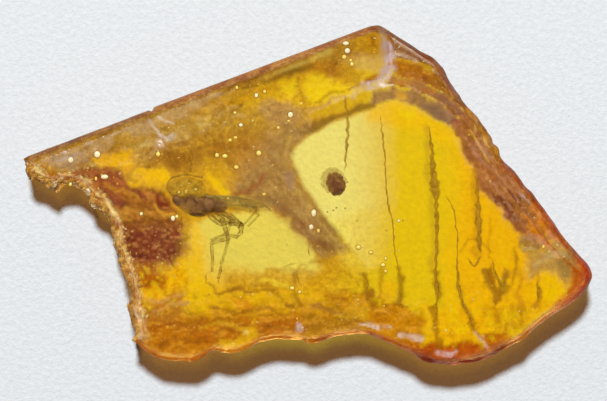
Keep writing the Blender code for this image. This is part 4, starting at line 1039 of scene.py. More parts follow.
def film(name, heightOf, shapes, paths, step, material):
    # a thin sheet in the amber, there only where a shape or a path gives it cover
    grid, width = staggered(step, 11.2, 6.8)
    cover = np.zeros(len(grid))
    colour = np.full((len(grid), 3), 0.5)
    wobble = roughness(grid, 0.5, 31.0, 3)
    for shape, soft, tone, amount in shapes:
        share = smoothStep((areaDepth(grid, placed(shape)) + 0.2 * wobble) / soft + 0.5) * amount
        keep = share > cover
        colour[keep] = linear(tone)
        cover = np.maximum(cover, share)
    for path, half, tone, amount in paths:
        away = pathDistance(grid, curveThrough(placed(path), 0.15))
        share = smoothStep((half * (1 + 0.6 * wobble) - away) / (0.9 * half) + 0.5) * amount
        keep = share > cover
        colour[keep] = linear(tone)
        cover = np.maximum(cover, share)
    inside = areaDepth(grid, chipOutline()[::3, :2]) > filmMargin
    cover[~inside] = 0
    faces = []
    rows = len(grid) // width
    for r in range(rows - 1):
        a, b, odd = r * width, (r + 1) * width, r % 2
        for i in range(width - 1):
            if odd:
                faces += [(a + i, a + i + 1, b + i + 1), (a + i, b + i + 1, b + i)]
            else:
                faces += [(a + i, a + i + 1, b + i), (a + i + 1, b + i + 1, b + i)]
    used = [f for f in faces if max(cover[list(f)]) > 0.01 and inside[list(f)].all()]
    ids = sorted({i for f in used for i in f})
    back = {i: n for n, i in enumerate(ids)}
    points = np.column_stack([grid[ids], heightOf(grid[ids])])
    piece = makePiece(name, points, [[back[i] for i in f] for f in used], [material])
    paint(piece, "stain", np.column_stack([colour[ids], cover[ids]]))
    piece.visible_shadow = False
    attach(piece, "root")
    print(name + ":", len(points), "points")


film("surface_scars_and_glints", lambda p: topHeight(p) - 0.012, hazes, scarsAndGlints, 0.075,
     filmMaterial("whitish scars", 2600.0, 3.0, detail=0.8))

deepStains = [  # shape, soft edge, colour, cover
    ("-7.5 -1.1, -6.2 -0.9, -5 -1, -4.65 -1.5, -4.9 -2.3, -5.6 -2.8, -6.8 -2.9", 0.35, (112, 40, 26), 0.34),
    ("-9.4 0.5, -8.4 1, -7.2 0.9, -6.6 0.1, -7.6 -0.7, -8.6 0", 0.4, (150, 70, 36), 0.26),
    ("-8 1.6, -5.5 2.6, -3 3.2, -0.2 3.2, -1.2 1.6, -2.6 1, -4.6 1.2, -6.6 1.1", 0.6, (140, 100, 50), 0.18),
    ("-3.2 0.2, -1.2 2.5, 0.4 3, -0.6 1.5, -0.1 0.2, 1.4 -2, 0.2 -2.2, -1.4 -0.5", 0.4, (140, 96, 60), 0.18),
    ("-7 -3.6, -3 -4, 2.5 -4, 2.5 -5.2, -2.6 -5.8, -6.5 -6", 0.5, (160, 96, 30), 0.14),
]
film("inner_stains", lambda p: 1.0 + 0.25 * roughness(p, 3.0, 5.0, 2), deepStains, [], 0.11,
     filmMaterial("inner stains", 2200.0, 5.0, detail=1.0))


# cracks that stand in the amber

cracks = [  # x, y and half width along each, in mm
    "1.45 3.9 0.03, 1.54 2.6 0.05, 1.48 1.9 0.055, 1.42 0.9 0.02",
    "2.8 3.1 0.02, 2.9 2.2 0.035, 3 1.2 0.03, 3.05 0.2 0.03, 3.15 -0.5 0.035, 3.3 -1.2 0.03, 3.35 -2 0.03, "
    "3.5 -3 0.02",
    "3.55 -3.7 0.03, 3.53 -3.95 0.06, 3.5 -4.4 0.02",
    "4.7 2.7 0.03, 4.8 1.8 0.06, 4.85 0.9 0.1, 4.95 0 0.1, 5 -1 0.07, 5 -2 0.06, 4.95 -3 0.06, 5 -4 0.05, "
    "4.9 -5.2 0.02",
    "5.3 0 0.02, 5.6 -0.5 0.03, 5.75 -1.2 0.03, 5.8 -2 0.03, 5.8 -3 0.04, 5.95 -4 0.05, 6.2 -4.6 0.04, "
    "6.4 -5.2 0.02",
    "6.5 0.8 0.03, 6.6 -0.2 0.06, 6.6 -0.7 0.1, 6.65 -1.8 0.07, 6.75 -2.3 0.03",
    "6.2 -2.4 0.02, 6.45 -2.75 0.05, 6.75 -2.35 0.03",
    "7.15 -2.5 0.02, 7.25 -3 0.05, 7.5 -3.5 0.06, 7.7 -3.3 0.03",
    "8.9 -3.3 0.03, 8.95 -3.8 0.05, 8.9 -4.2 0.02",
    "2.3 -3.2 0.02, 2.32 -3.7 0.03, 2.3 -4.2 0.02",
    "0.05 -1.7 0.02, 0 -2.4 0.02",
    "-0.9 -1.85 0.02, -0.75 -2 0.02",
    "-1.1 -2.8 0.015, -0.4 -2.65 0.02",
    "-3.95 -3 0.02, -3.95 -3.5 0.02",
    "-3.45 -3.2 0.02, -3.45 -3.5 0.02",
    "-0.45 -3.1 0.02, -0.3 -3.5 0.02",
    "-4.55 1.75 0.03, -4.55 0.85 0.03",
]
# height of the middle and half height of each sheet, and how wide and crooked it is, in mm
crackShape = {"middle": 1.45, "half": 0.42, "step": 0.06, "wander": 0.05, "sides": 12, "widen": 1.7}


def crackMesh():
    verts, faces = [], []
    sides = crackShape["sides"]
    for n, path in enumerate(cracks):
        line = curveThrough(placed(path), crackShape["step"])
        jitter = roughness(line[:, :2], 0.22, 40.0 + n, 3)
        swell = 1 + 0.6 * roughness(line[:, :2], 0.3, 60.0 + n, 3)
        for i, (x, y, half) in enumerate(line):
            run = line[min(i + 1, len(line) - 1), :2] - line[max(i - 1, 0), :2]
            across = np.array([run[1], -run[0]]) / (np.linalg.norm(run) + 1e-9)
            end = min(i, len(line) - 1 - i)
            fine = min(1.0, 0.25 + end * 0.3)
            centre = np.array([x, y]) + across * jitter[i] * crackShape["wander"]
            for s in range(sides):
                a = 2 * math.pi * s / sides
                side = crackShape["widen"] * max(0.012, half * swell[i]) * fine * math.cos(a)
                up = crackShape["half"] * fine * (0.6 + 2.2 * half) * math.sin(a)
                verts.append((*(centre + across * (side + 0.05 * up)), crackShape["middle"] + up))
        first = len(verts) - len(line) * sides
        faces += ringFaces(len(line), sides, first, turned=True)
        faces.append([first + s for s in range(sides)][::-1])
        faces.append([first + (len(line) - 1) * sides + s for s in range(sides)])
    return verts, faces


crackVerts, crackFaces = crackMesh()
crackPiece = makePiece("cracks", crackVerts, crackFaces, [
    solidMaterial("crack stain", (124, 86, 16), (196, 150, 40), 0.6, 6000.0, 3.0, 0.72, 0.0, 0.62),
])
crackPiece.visible_shadow = False
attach(crackPiece, "root")
print("cracks:", len(cracks))


# the gnat

gnatLevel = 1.22  # height of its middle above the paper, mm
gnat = {
    # place from that level, half sizes, and turn in degrees
    "thorax": ((-4.70, 0.22, 0.0), (0.76, 0.48, 0.40), -6),
    "chest": ((-4.40, -0.38, 0.06), (0.72, 0.42, 0.42), -12),
    "head": ((-5.06, -0.20, 0.0), (0.24, 0.25, 0.28), 15),
    "eye": ((-5.10, -0.16, 0.18), (0.16, 0.19, 0.14), 15),
    "abdomenFrom": (-4.00, -0.30, 0.0),
    "abdomenTo": (-3.28, -0.46, 0.0),
    "segments": 7,
    "abdomenRadii": (0.40, 0.27),
    "belly": ((-4.28, -0.76, 0.05), (0.34, 0.11, 0.16), -4),
    "legRadii": (0.125, 0.105, 0.080, 0.068, 0.060, 0.056),
    "feelerRadius": 0.036,
    "legLump": 0.30,
    "veinRadius": 0.034,
}
gnatWings = [  # base, tip, width, lean in degrees
    ((-4.00, -0.02, 0.26), (-1.12, -0.36, 0.20), 0.66, 52),
    ((-4.00, -0.10, -0.26), (-1.36, -0.66, -0.24), 0.62, -48),
]
gnatLegs = [  # joints from the body outward, x y z
    "-3.72 -0.5 0.16, -3 -0.84 0.26, -2.58 -1.14 0.3, -3.07 -1.11 0.12, -3.4 -0.92 0.02",
    "-3.55 -0.6 -0.12, -2.6 -1.2 -0.1, -2.6 -1.46 -0.04, -2.78 -1.62 0.02, -3.12 -1.54 0.1, "
    "-3.11 -1.8 0.12, -3.22 -2.22 0.1, -3.36 -2.66 0.09, -3.4 -2.94 0.08, -3.49 -3.26 0.05",
    "-3.98 -0.6 0.12, -3.62 -0.98 0.3, -3.36 -1.14 0.34, -3 -1.04 0.3, -3.14 -1.5 0.26, -3.78 -1.76 0.2",
    "-4.02 -0.55 -0.12, -3.3 -1.02 -0.36, -3.1 -1.68 -0.3, -3.76 -1.88 -0.22, -3.7 -2.5 -0.16, "
    "-3.72 -2.98 -0.12",
]
gnatFineLegs = [  # thinner ones, partly hidden
    "-3.8 -0.4 0.14, -2.3 -0.46 0.42, -1.96 -0.56 0.38, -2.6 -1.28 0.4",
    "-3.8 -0.42 -0.14, -2.2 -0.62 -0.42, -1.9 -0.8 -0.4, -2.36 -1.24 -0.36",
]
gnatFeelers = [  # curves from the head outward
    "-5.2 -0.02 0.08, -5.46 0.3 0.16, -5.26 0.68 0.2, -4.7 0.78 0.24, -4.08 0.68 0.26",
    "-5.22 -0.04 -0.08, -5.5 0.26 -0.18, -5.36 0.6 -0.24, -4.96 0.76 -0.28",
]


# Its surfaces: name, darkest and lightest colour, roughness, clouds to a metre, contrast, alpha from above,
# alpha at the edge, where that is reached, and how far clouds thin it.
gnatFinishes = [
    ("dark cuticle", (82, 46, 38), (150, 110, 76), 0.7, 3800.0, 4.0, 0.90, 0.0, 0.72, 0.45),
    ("olive thorax", (104, 72, 14), (208, 172, 72), 0.7, 4600.0, 4.5, 0.58, 0.12, 0.92, 0.60),
    ("wing membrane", (150, 130, 76), (222, 200, 130), 0.7, 5200.0, 3.0, 0.14, 0.24, 0.75, 0.3),
    ("leg cuticle", (92, 54, 14), (154, 104, 36), 0.7, 5200.0, 4.5, 0.34, 0.95, 0.6, 0.70),
    ("thin cuticle", (104, 78, 26), (170, 138, 60), 0.7, 6000.0, 4.0, 0.42, 0.0, 0.7, 0.6),
    ("darkest cuticle", (46, 28, 30), (84, 58, 40), 0.7, 4000.0, 2.5, 0.80, 0.0, 0.7, 0.3),
    ("wing veins", (136, 106, 44), (206, 178, 104), 0.7, 5200.0, 3.0, 0.40, 0.0, 0.8, 0.5),
]
dark, olive, membrane, leg, thin, darkest, vein = range(len(gnatFinishes))
# The wing's outline and veins, as shares of its length and width.
wingOutline = placed("0 0.1, 0.12 0.24, 0.35 0.43, 0.62 0.5, 0.82 0.43, 0.94 0.27, 1 0.06")
wingVeins = [
    "0 0, 0.3 0.36, 0.6 0.47, 0.85 0.38, 0.99 0.05", "0 0, 0.3 0.22, 0.65 0.28, 0.95 0.16",
    "0 0, 0.3 0.08, 0.6 0.06, 0.97 -0.02", "0.2 0.04, 0.5 -0.1, 0.9 -0.2",
    "0 0, 0.25 -0.14, 0.6 -0.32, 0.8 -0.36", "0 0, 0.2 -0.26, 0.45 -0.44",
]


class Shapes:
    # gathers the gnat's forms, each with its material's number
    def __init__(self):
        self.verts, self.faces, self.slots = [], [], []

    def add(self, verts, faces, slot):
        first = len(self.verts)
        self.verts += [tuple(v) for v in verts]
        self.faces += [[i + first for i in f] for f in faces]
        self.slots += [slot] * len(faces)

    def ball(self, centre, radii, turn, slot, around=36, rings=20, lump=0.04, ribs=0.0):
        c, s = math.cos(math.radians(turn)), math.sin(math.radians(turn))
        verts = []
        for r in range(rings + 1):
            for a in range(around):
                lat, lon = math.pi * r / rings, 2 * math.pi * a / around
                p = Vector((math.cos(lat), math.sin(lat) * math.cos(lon), math.sin(lat) * math.sin(lon)))
                grow = 1 + lump * noise.noise(p * 3 + Vector(centre) * 5) + ribs * math.sin(lat * 9)
                x, y, z = (p[i] * radii[i] * grow for i in range(3))
                flatPlace = (centre[0] + x * c - y * s, centre[1] + x * s + y * c)
                verts.append((*flatPlace, gnatLevel + centre[2] + z))
        faces = []
        for r in range(rings):
            for a in range(around):
                b = (a + 1) % around
                quad = (r * around + a, r * around + b, (r + 1) * around + b, (r + 1) * around + a)
                if r == 0:
                    faces.append((quad[0], quad[2], quad[3]))
                elif r == rings - 1:
                    faces.append((quad[0], quad[1], quad[2]))
                else:
                    faces.append(quad)
        self.add(verts, faces, slot)

    def tube(self, line, slot, sides=10):
        # line holds x, y, z and radius
        line = np.array(line, dtype=float)
        verts = []
        up = np.array([0.0, 0.0, 1.0])
        for i, (x, y, z, radius) in enumerate(line):
            run = line[min(i + 1, len(line) - 1), :3] - line[max(i - 1, 0), :3]
            run /= np.linalg.norm(run) + 1e-9
            side = np.cross(run, up)
            side /= np.linalg.norm(side) + 1e-9
            over = np.cross(side, run)
            for s in range(sides):
                a = 2 * math.pi * s / sides
                p = np.array([x, y, z + gnatLevel]) + radius * (math.cos(a) * side + math.sin(a) * over)
                verts.append(tuple(p))
        faces = ringFaces(len(line), sides, turned=True)
        faces.append(tuple(range(sides))[::-1])
        faces.append(tuple((len(line) - 1) * sides + s for s in range(sides)))
        self.add(verts, faces, slot)

    def limb(self, joints, radii, slot):
        # straight segments with rounded knees that are a little thicker
        points = []
        for i, (a, b) in enumerate(zip(joints, joints[1:])):
            ra, rb = (radii[min(k, len(radii) - 1)] for k in (i, i + 1))
            for t in (0.0, 0.08, 0.3, 0.55, 0.8, 0.95):
                p = np.array(a) * (1 - t) + np.array(b) * t
                knee = 1.15 if t in (0.0, 0.95) else 0.92
                lump = 1 + gnat["legLump"] * noise.noise(Vector(p) * 9)
                points.append((*p, (ra * (1 - t) + rb * t) * knee * lump))
        points.append((*joints[-1], radii[min(len(joints) - 1, len(radii) - 1)] * 0.6))
        self.tube(points, slot)

    def wing(self, base, tip, width, lean):
        base, tip = Vector(base), Vector(tip)
        length = (tip - base).length
        heading = (tip - base).to_track_quat("X", "Z").to_matrix().to_4x4()
        place = Matrix.Translation(base) @ heading @ Matrix.Rotation(math.radians(lean), 4, "X")
        shape = curveThrough(wingOutline, 0.05)
        verts, faces, across = [], [], 10
        for along, half in shape:
            for j in range(across + 1):
                v = 2 * j / across - 1
                sag = 0.10 * math.sin(math.pi * along) + 0.012 * math.sin(14 * v + 5 * along)
                verts.append(place @ Vector((along * length, half * width * v, sag)))
        for i in range(len(shape) - 1):
            for j in range(across):
                a = i * (across + 1) + j
                faces.append((a, a + across + 1, a + across + 2, a + 1))
        verts = [(v.x, v.y, v.z + gnatLevel) for v in verts]
        self.add(verts, faces, membrane)
        for path in wingVeins:
            line = []
            for along, side in curveThrough(placed(path), 0.08):
                sag = 0.10 * math.sin(math.pi * along)
                p = place @ Vector((along * length, side * width, sag))
                line.append((p.x, p.y, p.z, gnat["veinRadius"]))
            self.tube(line, vein, sides=6)


shapes = Shapes()
shapes.ball(*gnat["thorax"], olive, around=44, rings=28, lump=0.10)
shapes.ball(*gnat["chest"], dark, lump=0.12)
shapes.ball(*gnat["belly"], darkest)
shapes.ball(*gnat["head"], dark)
for side in (1, -1):
    (x, y, z), radii, turn = gnat["eye"]
    shapes.ball((x, y, z * side), radii, turn, dark, lump=0.0)
for i in range(gnat["segments"]):
    t = i / (gnat["segments"] - 1)
    place = np.array(gnat["abdomenFrom"]) * (1 - t) + np.array(gnat["abdomenTo"]) * t
    radius = gnat["abdomenRadii"][0] * (1 - t) + gnat["abdomenRadii"][1] * t
    shapes.ball(tuple(place), (radius * 0.62, radius, radius * 0.9), -19, dark, around=28, rings=14)
for joints in gnatLegs:
    shapes.limb(placed(joints), gnat["legRadii"], leg)
for joints in gnatFineLegs:
    shapes.limb(placed(joints), gnat["legRadii"][2:], thin)
for joints in gnatFeelers:
    line = curveThrough(placed(joints), 0.06)
    beads = [(*p, gnat["feelerRadius"] * (1 + 0.25 * (i % 2))) for i, p in enumerate(line)]
    shapes.tube(beads, thin, sides=8)
for base, tip, width, lean in gnatWings:
    shapes.wing(base, tip, width, lean)
surfaces = [solidMaterial(*finish) for finish in gnatFinishes]
insect = makePiece("gnat", shapes.verts, shapes.faces, surfaces, slots=shapes.slots)
insect.visible_shadow = False
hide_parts("insect")
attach(insect, "root")
print("gnat:", len(shapes.faces), "faces")


# the crumb

crumbShape = {
    "core": ((1.08, 0.44, 0.0), (0.36, 0.46, 0.23), 18, 0.22),  # place, half sizes, turn and lumpiness
    "halo": ((0.98, 0.56, 0.02), (0.48, 0.55, 0.20), 24, 0.16),
    "dots": [(1.52, 0.50), (1.45, 0.34), (0.75, -0.66), (1.10, -0.50), (1.45, -0.52), (0.98, -0.60)],
    "dotSize": 0.035,
    "around": 64,
    "rings": 40,
    "finishes": [  # as for the gnat
        ("rotted debris", (84, 42, 38), (140, 92, 66), 0.8, 4200.0, 3.0, 0.96, 0.0, 0.66),
        ("debris cloud", (120, 84, 34), (176, 140, 66), 0.8, 3600.0, 3.0, 0.34, 0.0, 0.50),
        ("debris dots", (110, 74, 24), (150, 110, 50), 0.8, 5000.0, 2.5, 0.8, 0.0),
    ],
}


def crumbMesh():
    shapes = Shapes()
    for part, slot in (("core", 0), ("halo", 1)):
        place, sizes, turn, lump = crumbShape[part]
        shapes.ball(place, sizes, turn, slot, crumbShape["around"], crumbShape["rings"], lump)
    for x, y in crumbShape["dots"]:
        shapes.ball((x, y, 0.0), (crumbShape["dotSize"],) * 3, 0, 2, 12, 8, 0.2)
    return shapes


shapes = crumbMesh()
surfaces = [solidMaterial(*finish) for finish in crumbShape["finishes"]]
crumb = makePiece("crumb", shapes.verts, shapes.faces, surfaces, slots=shapes.slots)
crumb.visible_shadow = False
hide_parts("debris_crumb")
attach(crumb, "root")
print("crumb:", len(shapes.faces), "faces")


# bubbles: their glow and their white colour are painted glints of the lamp, and the dark ring round each is
# painted shade

bubbleLook = {
    "size": 1.20, "flatness": 0.6, "unevenness": 0.32,
    "level": 2.05,  # height of their middles, and less of it under the high part of the break
    "lowered": 0.30,
    "white": (255, 248, 216), "yellow": (252, 228, 122), "pale": (196, 176, 84),
    "whiteFrom": 0.072,  # radius from which they are white, and the share of the smaller ones that is
    "whiteShare": 0.2,
    "glintLevel": 1.75,  # the painted highlights on the gnat's thorax lie lower
    # painted glint: the bubbles give off light of their own
    "glow": 0.22,
}
bubblePlaces = placed(  # x y radius
    "-3.52 1.54 0.065, -3.21 1.5 0.065, -2.77 1.08 0.07, -1.9 1.62 0.07, -2.8 2.22 0.06, "
    "-3.02 2.12 0.05, -2.6 2.7 0.06, -2.83 3.17 0.06, -0.68 3.1 0.07, -0.75 2.85 0.05, -1.15 2.6 0.06, "
    "-1.68 4 0.07, -2 3.85 0.06, -2.75 4.15 0.06, -5.8 1.57 0.06, -1.7 0.03 0.06, 0.22 -0.7 0.095, "
    "0.12 -1.24 0.08, 0.4 -1.38 0.05, 3.5 -1 0.05, 1.95 -2.02 0.07, 2.43 -2.22 0.066, 2.9 -2.7 0.07, "
    "3 -2.95 0.06, 3 -2.45 0.05, -0.62 -3.6 0.06, -0.33 -3.75 0.05, 1.46 5.86 0.095, 1.52 5.57 0.1, "
    "1.4 5.33 0.06, 1.65 5.2 0.06, 1.7 5.05 0.05, 3.35 6.05 0.05, -5.22 -0.9 0.085, -5.07 -0.83 0.06, "
    "-8.15 1.57 0.08, -9.17 1.36 0.075, -7.86 0.7 0.088, -8.2 0.63 0.05, -9.2 0.42 0.06, "
    "-6.45 -0.73 0.06, 9.1 -2 0.05"
)
# painted highlights: pale glowing spots where the lamp glints on the gnat's thorax dome
thoraxGlints = placed(
    "-4.72 0.13 0.05, -5 0.1 0.045, -4.35 0.2 0.05, -3.1 -0.14 0.05, -4.6 0.44 0.03, -4.9 0.35 0.03"
)


def socket(tree, name, kind, start=None):
    made = tree.interface.new_socket(name, in_out="INPUT", socket_type=kind)
    if start is not None:
        made.default_value = start


def scatterTree(name, ringed):
    # ringed gives balls, each with a thin dark ring of painted shade; otherwise small splinters, turned at
    # random
    tree = bpy.data.node_groups.new(name, "GeometryNodeTree")
    socket(tree, "Geometry", "NodeSocketGeometry")
    socket(tree, "Size", "NodeSocketFloat", 1.0)
    socket(tree, "Flatness", "NodeSocketFloat", 0.8)
    socket(tree, "Unevenness", "NodeSocketFloat", 0.0)
    socket(tree, "Material", "NodeSocketMaterial")
    socket(tree, "Ring Material", "NodeSocketMaterial")
    tree.interface.new_socket("Geometry", in_out="OUTPUT", socket_type="NodeSocketGeometry")
    entry, leave = tree.nodes.new("NodeGroupInput"), tree.nodes.new("NodeGroupOutput")
    radius = node(tree, "GeometryNodeInputNamedAttribute", {"Name": "radius"}, data_type="FLOAT")
    sized = maths(tree, "MULTIPLY", radius.outputs[0], entry.outputs["Size"])
    flat = maths(tree, "MULTIPLY", sized, entry.outputs["Flatness"])
    low = maths(tree, "SUBTRACT", 1.0, entry.outputs["Unevenness"])
    high = maths(tree, "ADD", 1.0, entry.outputs["Unevenness"])
    sides = []
    for axis, size in enumerate((sized, sized, flat)):
        grow = node(tree, "FunctionNodeRandomValue", {2: low, 3: high, "Seed": 5 + axis}, data_type="FLOAT")
        sides.append(maths(tree, "MULTIPLY", size, grow.outputs[1]))
    scale = node(tree, "ShaderNodeCombineXYZ", dict(enumerate(sides)))
    if ringed:
        ball = node(tree, "GeometryNodeMeshIcoSphere", {"Radius": 1.0, "Subdivisions": 3})
        balls = node(tree, "GeometryNodeInstanceOnPoints", {
            "Points": entry.outputs[0], "Instance": ball.outputs[0], "Scale": scale.outputs[0],
        })
        hoop = node(tree, "GeometryNodeCurvePrimitiveCircle", {"Resolution": 16, "Radius": 1.12})
        section = node(tree, "GeometryNodeCurvePrimitiveCircle", {"Resolution": 6, "Radius": 0.24})
        ring = node(tree, "GeometryNodeCurveToMesh", {0: hoop.outputs[0], 1: section.outputs[0]})
        rings = node(tree, "GeometryNodeInstanceOnPoints", {
            "Points": entry.outputs[0], "Instance": ring.outputs[0], "Scale": scale.outputs[0],
        })
        realRings = node(tree, "GeometryNodeRealizeInstances", {0: rings.outputs[0]})
        darkRings = node(tree, "GeometryNodeSetMaterial", {
            0: realRings.outputs[0], "Material": entry.outputs["Ring Material"],
        })
        real = node(tree, "GeometryNodeRealizeInstances", {0: balls.outputs[0]})
        smooth = node(tree, "GeometryNodeSetShadeSmooth", {0: real.outputs[0]})
        ended = node(tree, "GeometryNodeSetMaterial", {
            0: smooth.outputs[0], "Material": entry.outputs["Material"],
        })
        joined = node(tree, "GeometryNodeJoinGeometry")
        tree.links.new(ended.outputs[0], joined.inputs[0])
        tree.links.new(darkRings.outputs[0], joined.inputs[0])
        tree.links.new(joined.outputs[0], leave.inputs[0])
        return tree
    splinter = node(tree, "GeometryNodeMeshIcoSphere", {"Radius": 1.0, "Subdivisions": 1})
    angles = node(tree, "FunctionNodeRandomValue", {1: (6.3, 6.3, 6.3), "Seed": 11}, data_type="FLOAT_VECTOR")
    turned = node(tree, "FunctionNodeEulerToRotation", {0: angles.outputs[0]})
    splinters = node(tree, "GeometryNodeInstanceOnPoints", {
        "Points": entry.outputs[0], "Instance": splinter.outputs[0],
        "Rotation": turned.outputs[0], "Scale": scale.outputs[0],
    })
    real = node(tree, "GeometryNodeRealizeInstances", {0: splinters.outputs[0]})
    ended = node(tree, "GeometryNodeSetMaterial", {0: real.outputs[0], "Material": entry.outputs["Material"]})
    tree.links.new(ended.outputs[0], leave.inputs[0])
    return tree


def grown(name, points, tree, values, tints):
    # a mesh from a node tree that stands on loose points of x, y, z and radius
    source = makePiece(name + "_points", [p[:3] for p in points], [], [])
    mask(source, "radius", [p[3] * mm for p in points])
    paint(source, "stain", tints)
    step = source.modifiers.new(name, "NODES")
    step.node_group = tree
    for item in tree.interface.items_tree:
        if item.item_type == "SOCKET" and item.in_out == "INPUT" and item.name in values:
            step[item.identifier] = values[item.name]
    graph = bpy.context.evaluated_depsgraph_get()
    data = bpy.data.meshes.new_from_object(source.evaluated_get(graph))
    source.modifiers.clear()
    bpy.data.objects.remove(source)
    data.name = name
    piece = added(name, data)
    piece.visible_shadow = False
    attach(piece, "root")
    print(name + ":", len(points), "in", len(data.polygons), "faces")


def bubbleMaterial():
    material, tree = newMaterial("gas bubbles with painted glint")
    cloud = clouding(tree, 5000.0, 2.0)
    clouded = blend(tree, cloud.outputs["Cloud"], (0.80, 0.72, 0.55, 1), (1.0, 1.0, 1.0, 1))
    tinted = blend(tree, 1.0, attribute(tree, "stain"), clouded, blend_type="MULTIPLY")
    # the emission is a painted glint: the bubbles glow though they are no lamp
    shader = node(tree, "ShaderNodeBsdfPrincipled", {
        "Base Color": tinted, "Roughness": 0.15, "Coat Weight": 1.0,
        "Emission Color": tinted, "Emission Strength": bubbleLook["glow"],
    })
    surfaceOut(tree, shader)
    return material


bubbleGlow = bubbleMaterial()
# a dark ring round each bubble: painted shade of the refraction at its rim
bubbleShadeRing = solidMaterial("bubble rings of painted shade", (120, 76, 14), (160, 110, 26), 0.6, 5000.0, 2.0, 0.55, 0.0)
draw = random.Random(21)
spots, colours = [], []
for x, y, radius in bubblePlaces:
    z = bubbleLook["level"] + draw.uniform(-0.15, 0.10) - (bubbleLook["lowered"] if x > 3.2 and y > 3 else 0)
    spots.append((x, y, z, radius))
    # the larger bubbles and a share of the small ones glint white: a painted highlight
    white = radius > bubbleLook["whiteFrom"] or draw.random() < bubbleLook["whiteShare"]
    colours.append(linear(bubbleLook["white" if white else "yellow"]))
for x, y, radius in thoraxGlints:
    spots.append((x, y, bubbleLook["glintLevel"], radius))
    colours.append(linear(bubbleLook["pale"]))
grown("bubbles", spots, scatterTree("bubbles", True), {
    "Size": bubbleLook["size"], "Flatness": bubbleLook["flatness"], "Unevenness": bubbleLook["unevenness"],
    "Material": bubbleGlow, "Ring Material": bubbleShadeRing,
}, np.array(colours))


# grains: crumbled amber on the broken flank, and bright specks under the polished face, small flecks whose
# pale colour is partly a painted highlight

grains = {
    "flankCount": 700,
    "flankSize": (0.03, 0.13),
    "flankColours": [
        (226, 180, 92), (216, 166, 74), (228, 204, 156), (204, 150, 56),
        (170, 110, 44), (218, 174, 84), (192, 134, 56),
    ],
    "speckSize": (0.014, 0.036),
    # pale colours that partly paint the specks' sparkle
    "speckColours": [(252, 226, 130), (240, 206, 96), (250, 240, 200), (224, 170, 60)],
    "flatness": 0.7, "unevenness": 0.75, "cover": 0.72,
}
speckAreas = [  # shape and number
    ("-10.9 1.1, -6 3.1, -2.8 4.2, -2.8 1, -4.8 1, -7.4 0.2, -8.8 0.2", 150),
    ("-2.8 4.2, 2.6 6.2, 3.2 4.6, 0.4 3.2, -0.8 1.6, -0.2 -0.8, 1.4 -2.4, 0.2 -2.2, -2.8 0.9", 120),
    ("-7.4 -1, -4.8 -1, -4.8 -3.2, -6.8 -3.6", 50),
    ("-6.6 -3.8, 2.6 -3.6, 3.8 -5.6, 1 -5.3, -2 -5.5, -4.6 -6.1, -6.2 -5.8", 130),
    ("0.9 -1, 3.8 -0.8, 3.6 -3.2, 1.4 -2.6", 46),
    ("5.8 3, 7.1 1.6, 8.9 -0.6, 10.2 -2.6, 9.6 -4.2, 8 -5.3, 4.6 -5.9, 4.2 -4.6, 7.2 -3.4, 8.2 -1.8, "
     "6.6 0.6", 150),
    ("3 6.2, 4.9 5, 5.9 3.5, 3.6 4.5", 40),
]


def grainMaterial():
    # each grain has its own colour, a little cloudy
    material, tree = newMaterial("amber grains")
    cloud = clouding(tree, 12000.0, 2.0)
    clouded = blend(tree, cloud.outputs["Cloud"], (0.75, 0.7, 0.65, 1), (1, 1, 1, 1))
    tinted = blend(tree, 1.0, attribute(tree, "stain"), clouded, blend_type="MULTIPLY")
    shader = node(tree, "ShaderNodeBsdfPrincipled", {
        "Base Color": tinted, "Roughness": 0.35, "Alpha": grains["cover"],
    })
    surfaceOut(tree, shader)
    return material


def flankGrains():
    # on the points of the wall and bevel where the edge has crumbled
    draw = random.Random(31)
    likely = np.where(wall & (where > 0.35))[0]
    likely = likely[crumbDepths[likely] > 0.11]
    spots, colours = [], []
    for _ in range(grains["flankCount"]):
        n = int(likely[draw.randrange(len(likely))])
        deep = draw.uniform(0.03, 0.09) * (3.0 if draw.random() < 0.3 else 1.0)
        x, y = verts[n, :2] - facing[n] * deep
        size = draw.uniform(*grains["flankSize"])
        spots.append((x, y, min(verts[n, 2], chip["thickness"] - 1.2 * size), size))
        colours.append(linear(draw.choice(grains["flankColours"])))
    return spots, np.array(colours)


def speckGrains():
    draw = random.Random(37)
    spots, colours = [], []
    for shape, count in speckAreas:
        corners = np.array(placed(shape))
        box = list(zip(corners.min(axis=0), corners.max(axis=0)))
        tries = np.array([[draw.uniform(*side) for side in box] for _ in range(count * 6)])
        for x, y in tries[areaDepth(tries, corners) > 0.05][:count]:
            z = float(topHeight(np.array([[x, y]]))[0]) - draw.uniform(0.12, 0.5)
            spots.append((x, y, z, draw.uniform(*grains["speckSize"])))
            colours.append(linear(draw.choice(grains["speckColours"])))
    return spots, np.array(colours)


grainFinish = grainMaterial()
grainTree = scatterTree("grains", False)
for name, (spots, colours) in (("flank_grains", flankGrains()), ("bright_specks", speckGrains())):
    grown(name, spots, grainTree, {
        "Size": 1.0, "Flatness": grains["flatness"], "Unevenness": grains["unevenness"],
        "Material": grainFinish,
    }, colours)


# paper, lights and camera

studio = {  # in metres, where nothing else is said
    "lightAim": (-0.10, 1.12, 2.40),  # towards the lamp
    "lightDistance": 0.42,
    "lightSize": 0.050,
    "lightPower": 1.83,
    "skyLow": 0.05,
    "skyHigh": 0.0,
    "skyColour": (0.93, 0.97, 1.0, 1),
    "paperSize": 0.6,
    "paperBelow": 0.00002,
    "paperDark": (0.72, 0.745, 0.77, 1),
    "paperLight": (0.95, 0.97, 0.99, 1),
    "viewHeight": 0.110,
    "pixel": 0.039,  # mm
    "pixelsWide": 607,
    "sensor": 36,  # mm
    "seenLevel": 0.0012,  # where a pixel has that size
    "middlePixel": (303.5, 200.5),
    "zeroPixel": (308.0, 195.0),
}


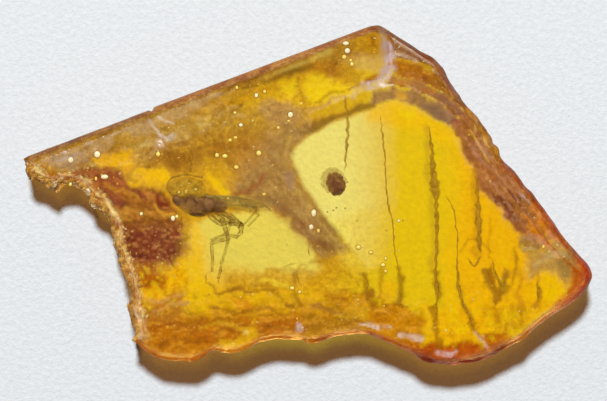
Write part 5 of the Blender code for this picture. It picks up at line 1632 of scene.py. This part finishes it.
def paperMaterial():
    material, tree = newMaterial("pale paper")
    cloud = clouding(tree, 1500.0, 1.0, grain=5200.0)
    colour = blend(tree, cloud.outputs["Grain"], studio["paperDark"], studio["paperLight"])
    fibres = {"Height": cloud.outputs["Grain"], "Strength": 0.5, "Distance": 0.0001}
    bump = node(tree, "ShaderNodeBump", fibres)
    shader = node(tree, "ShaderNodeBsdfPrincipled", {
        "Base Color": colour, "Roughness": 0.95, "Normal": bump.outputs[0], "Specular IOR Level": 0.1,
    })
    surfaceOut(tree, shader)
    return material


half, level = studio["paperSize"], -studio["paperBelow"]
corners = [(x * half, y * half, level) for x, y in ((-1, -1), (1, -1), (1, 1), (-1, 1))]
floorMesh = bpy.data.meshes.new("paper")
floorMesh.from_pydata(corners, [], [(0, 1, 2, 3)])
floorMesh.materials.append(paperMaterial())
floor = added("paper", floorMesh)

aim = Vector(studio["lightAim"]).normalized()
lamp = bpy.data.lights.new("key", "AREA")
lamp.shape = "DISK"
lamp.size = studio["lightSize"]
lamp.energy = studio["lightPower"]
key = added("key", lamp)
key.location = aim * studio["lightDistance"]
key.rotation_euler = aim.to_track_quat("Z", "Y").to_euler()

world = bpy.data.worlds.new("studio")
world.use_nodes = True
tree = world.node_tree
tree.nodes.clear()
place = node(tree, "ShaderNodeTexCoord").outputs["Generated"]
split = node(tree, "ShaderNodeSeparateXYZ", {0: place})
level = node(tree, "ShaderNodeMapRange", {
    "Value": split.outputs[2], "From Min": 0.55, "From Max": 0.97,
    "To Min": studio["skyLow"], "To Max": studio["skyHigh"],
}, interpolation_type="SMOOTHSTEP")
sky = node(tree, "ShaderNodeBackground", {"Color": studio["skyColour"], "Strength": level.outputs[0]})
node(tree, "ShaderNodeOutputWorld", {0: sky.outputs[0]})
bpy.context.scene.world = world

middle = [(studio["middlePixel"][0] - studio["zeroPixel"][0]) * studio["pixel"] - boxMiddle[0],
          (studio["zeroPixel"][1] - studio["middlePixel"][1]) * studio["pixel"] - boxMiddle[1]]
lens = bpy.data.cameras.new("camera")
lens.sensor_width = studio["sensor"]
seenWidth = studio["pixelsWide"] * studio["pixel"] * mm
lens.lens = studio["sensor"] * (studio["viewHeight"] - studio["seenLevel"]) / seenWidth
lens.clip_start, lens.clip_end = 0.001, 10
camera = added("camera", lens)
camera.location = (middle[0] * mm, middle[1] * mm, studio["viewHeight"])
bpy.context.scene.camera = camera
bpy.context.scene.view_settings.view_transform = "Standard"

print("done")
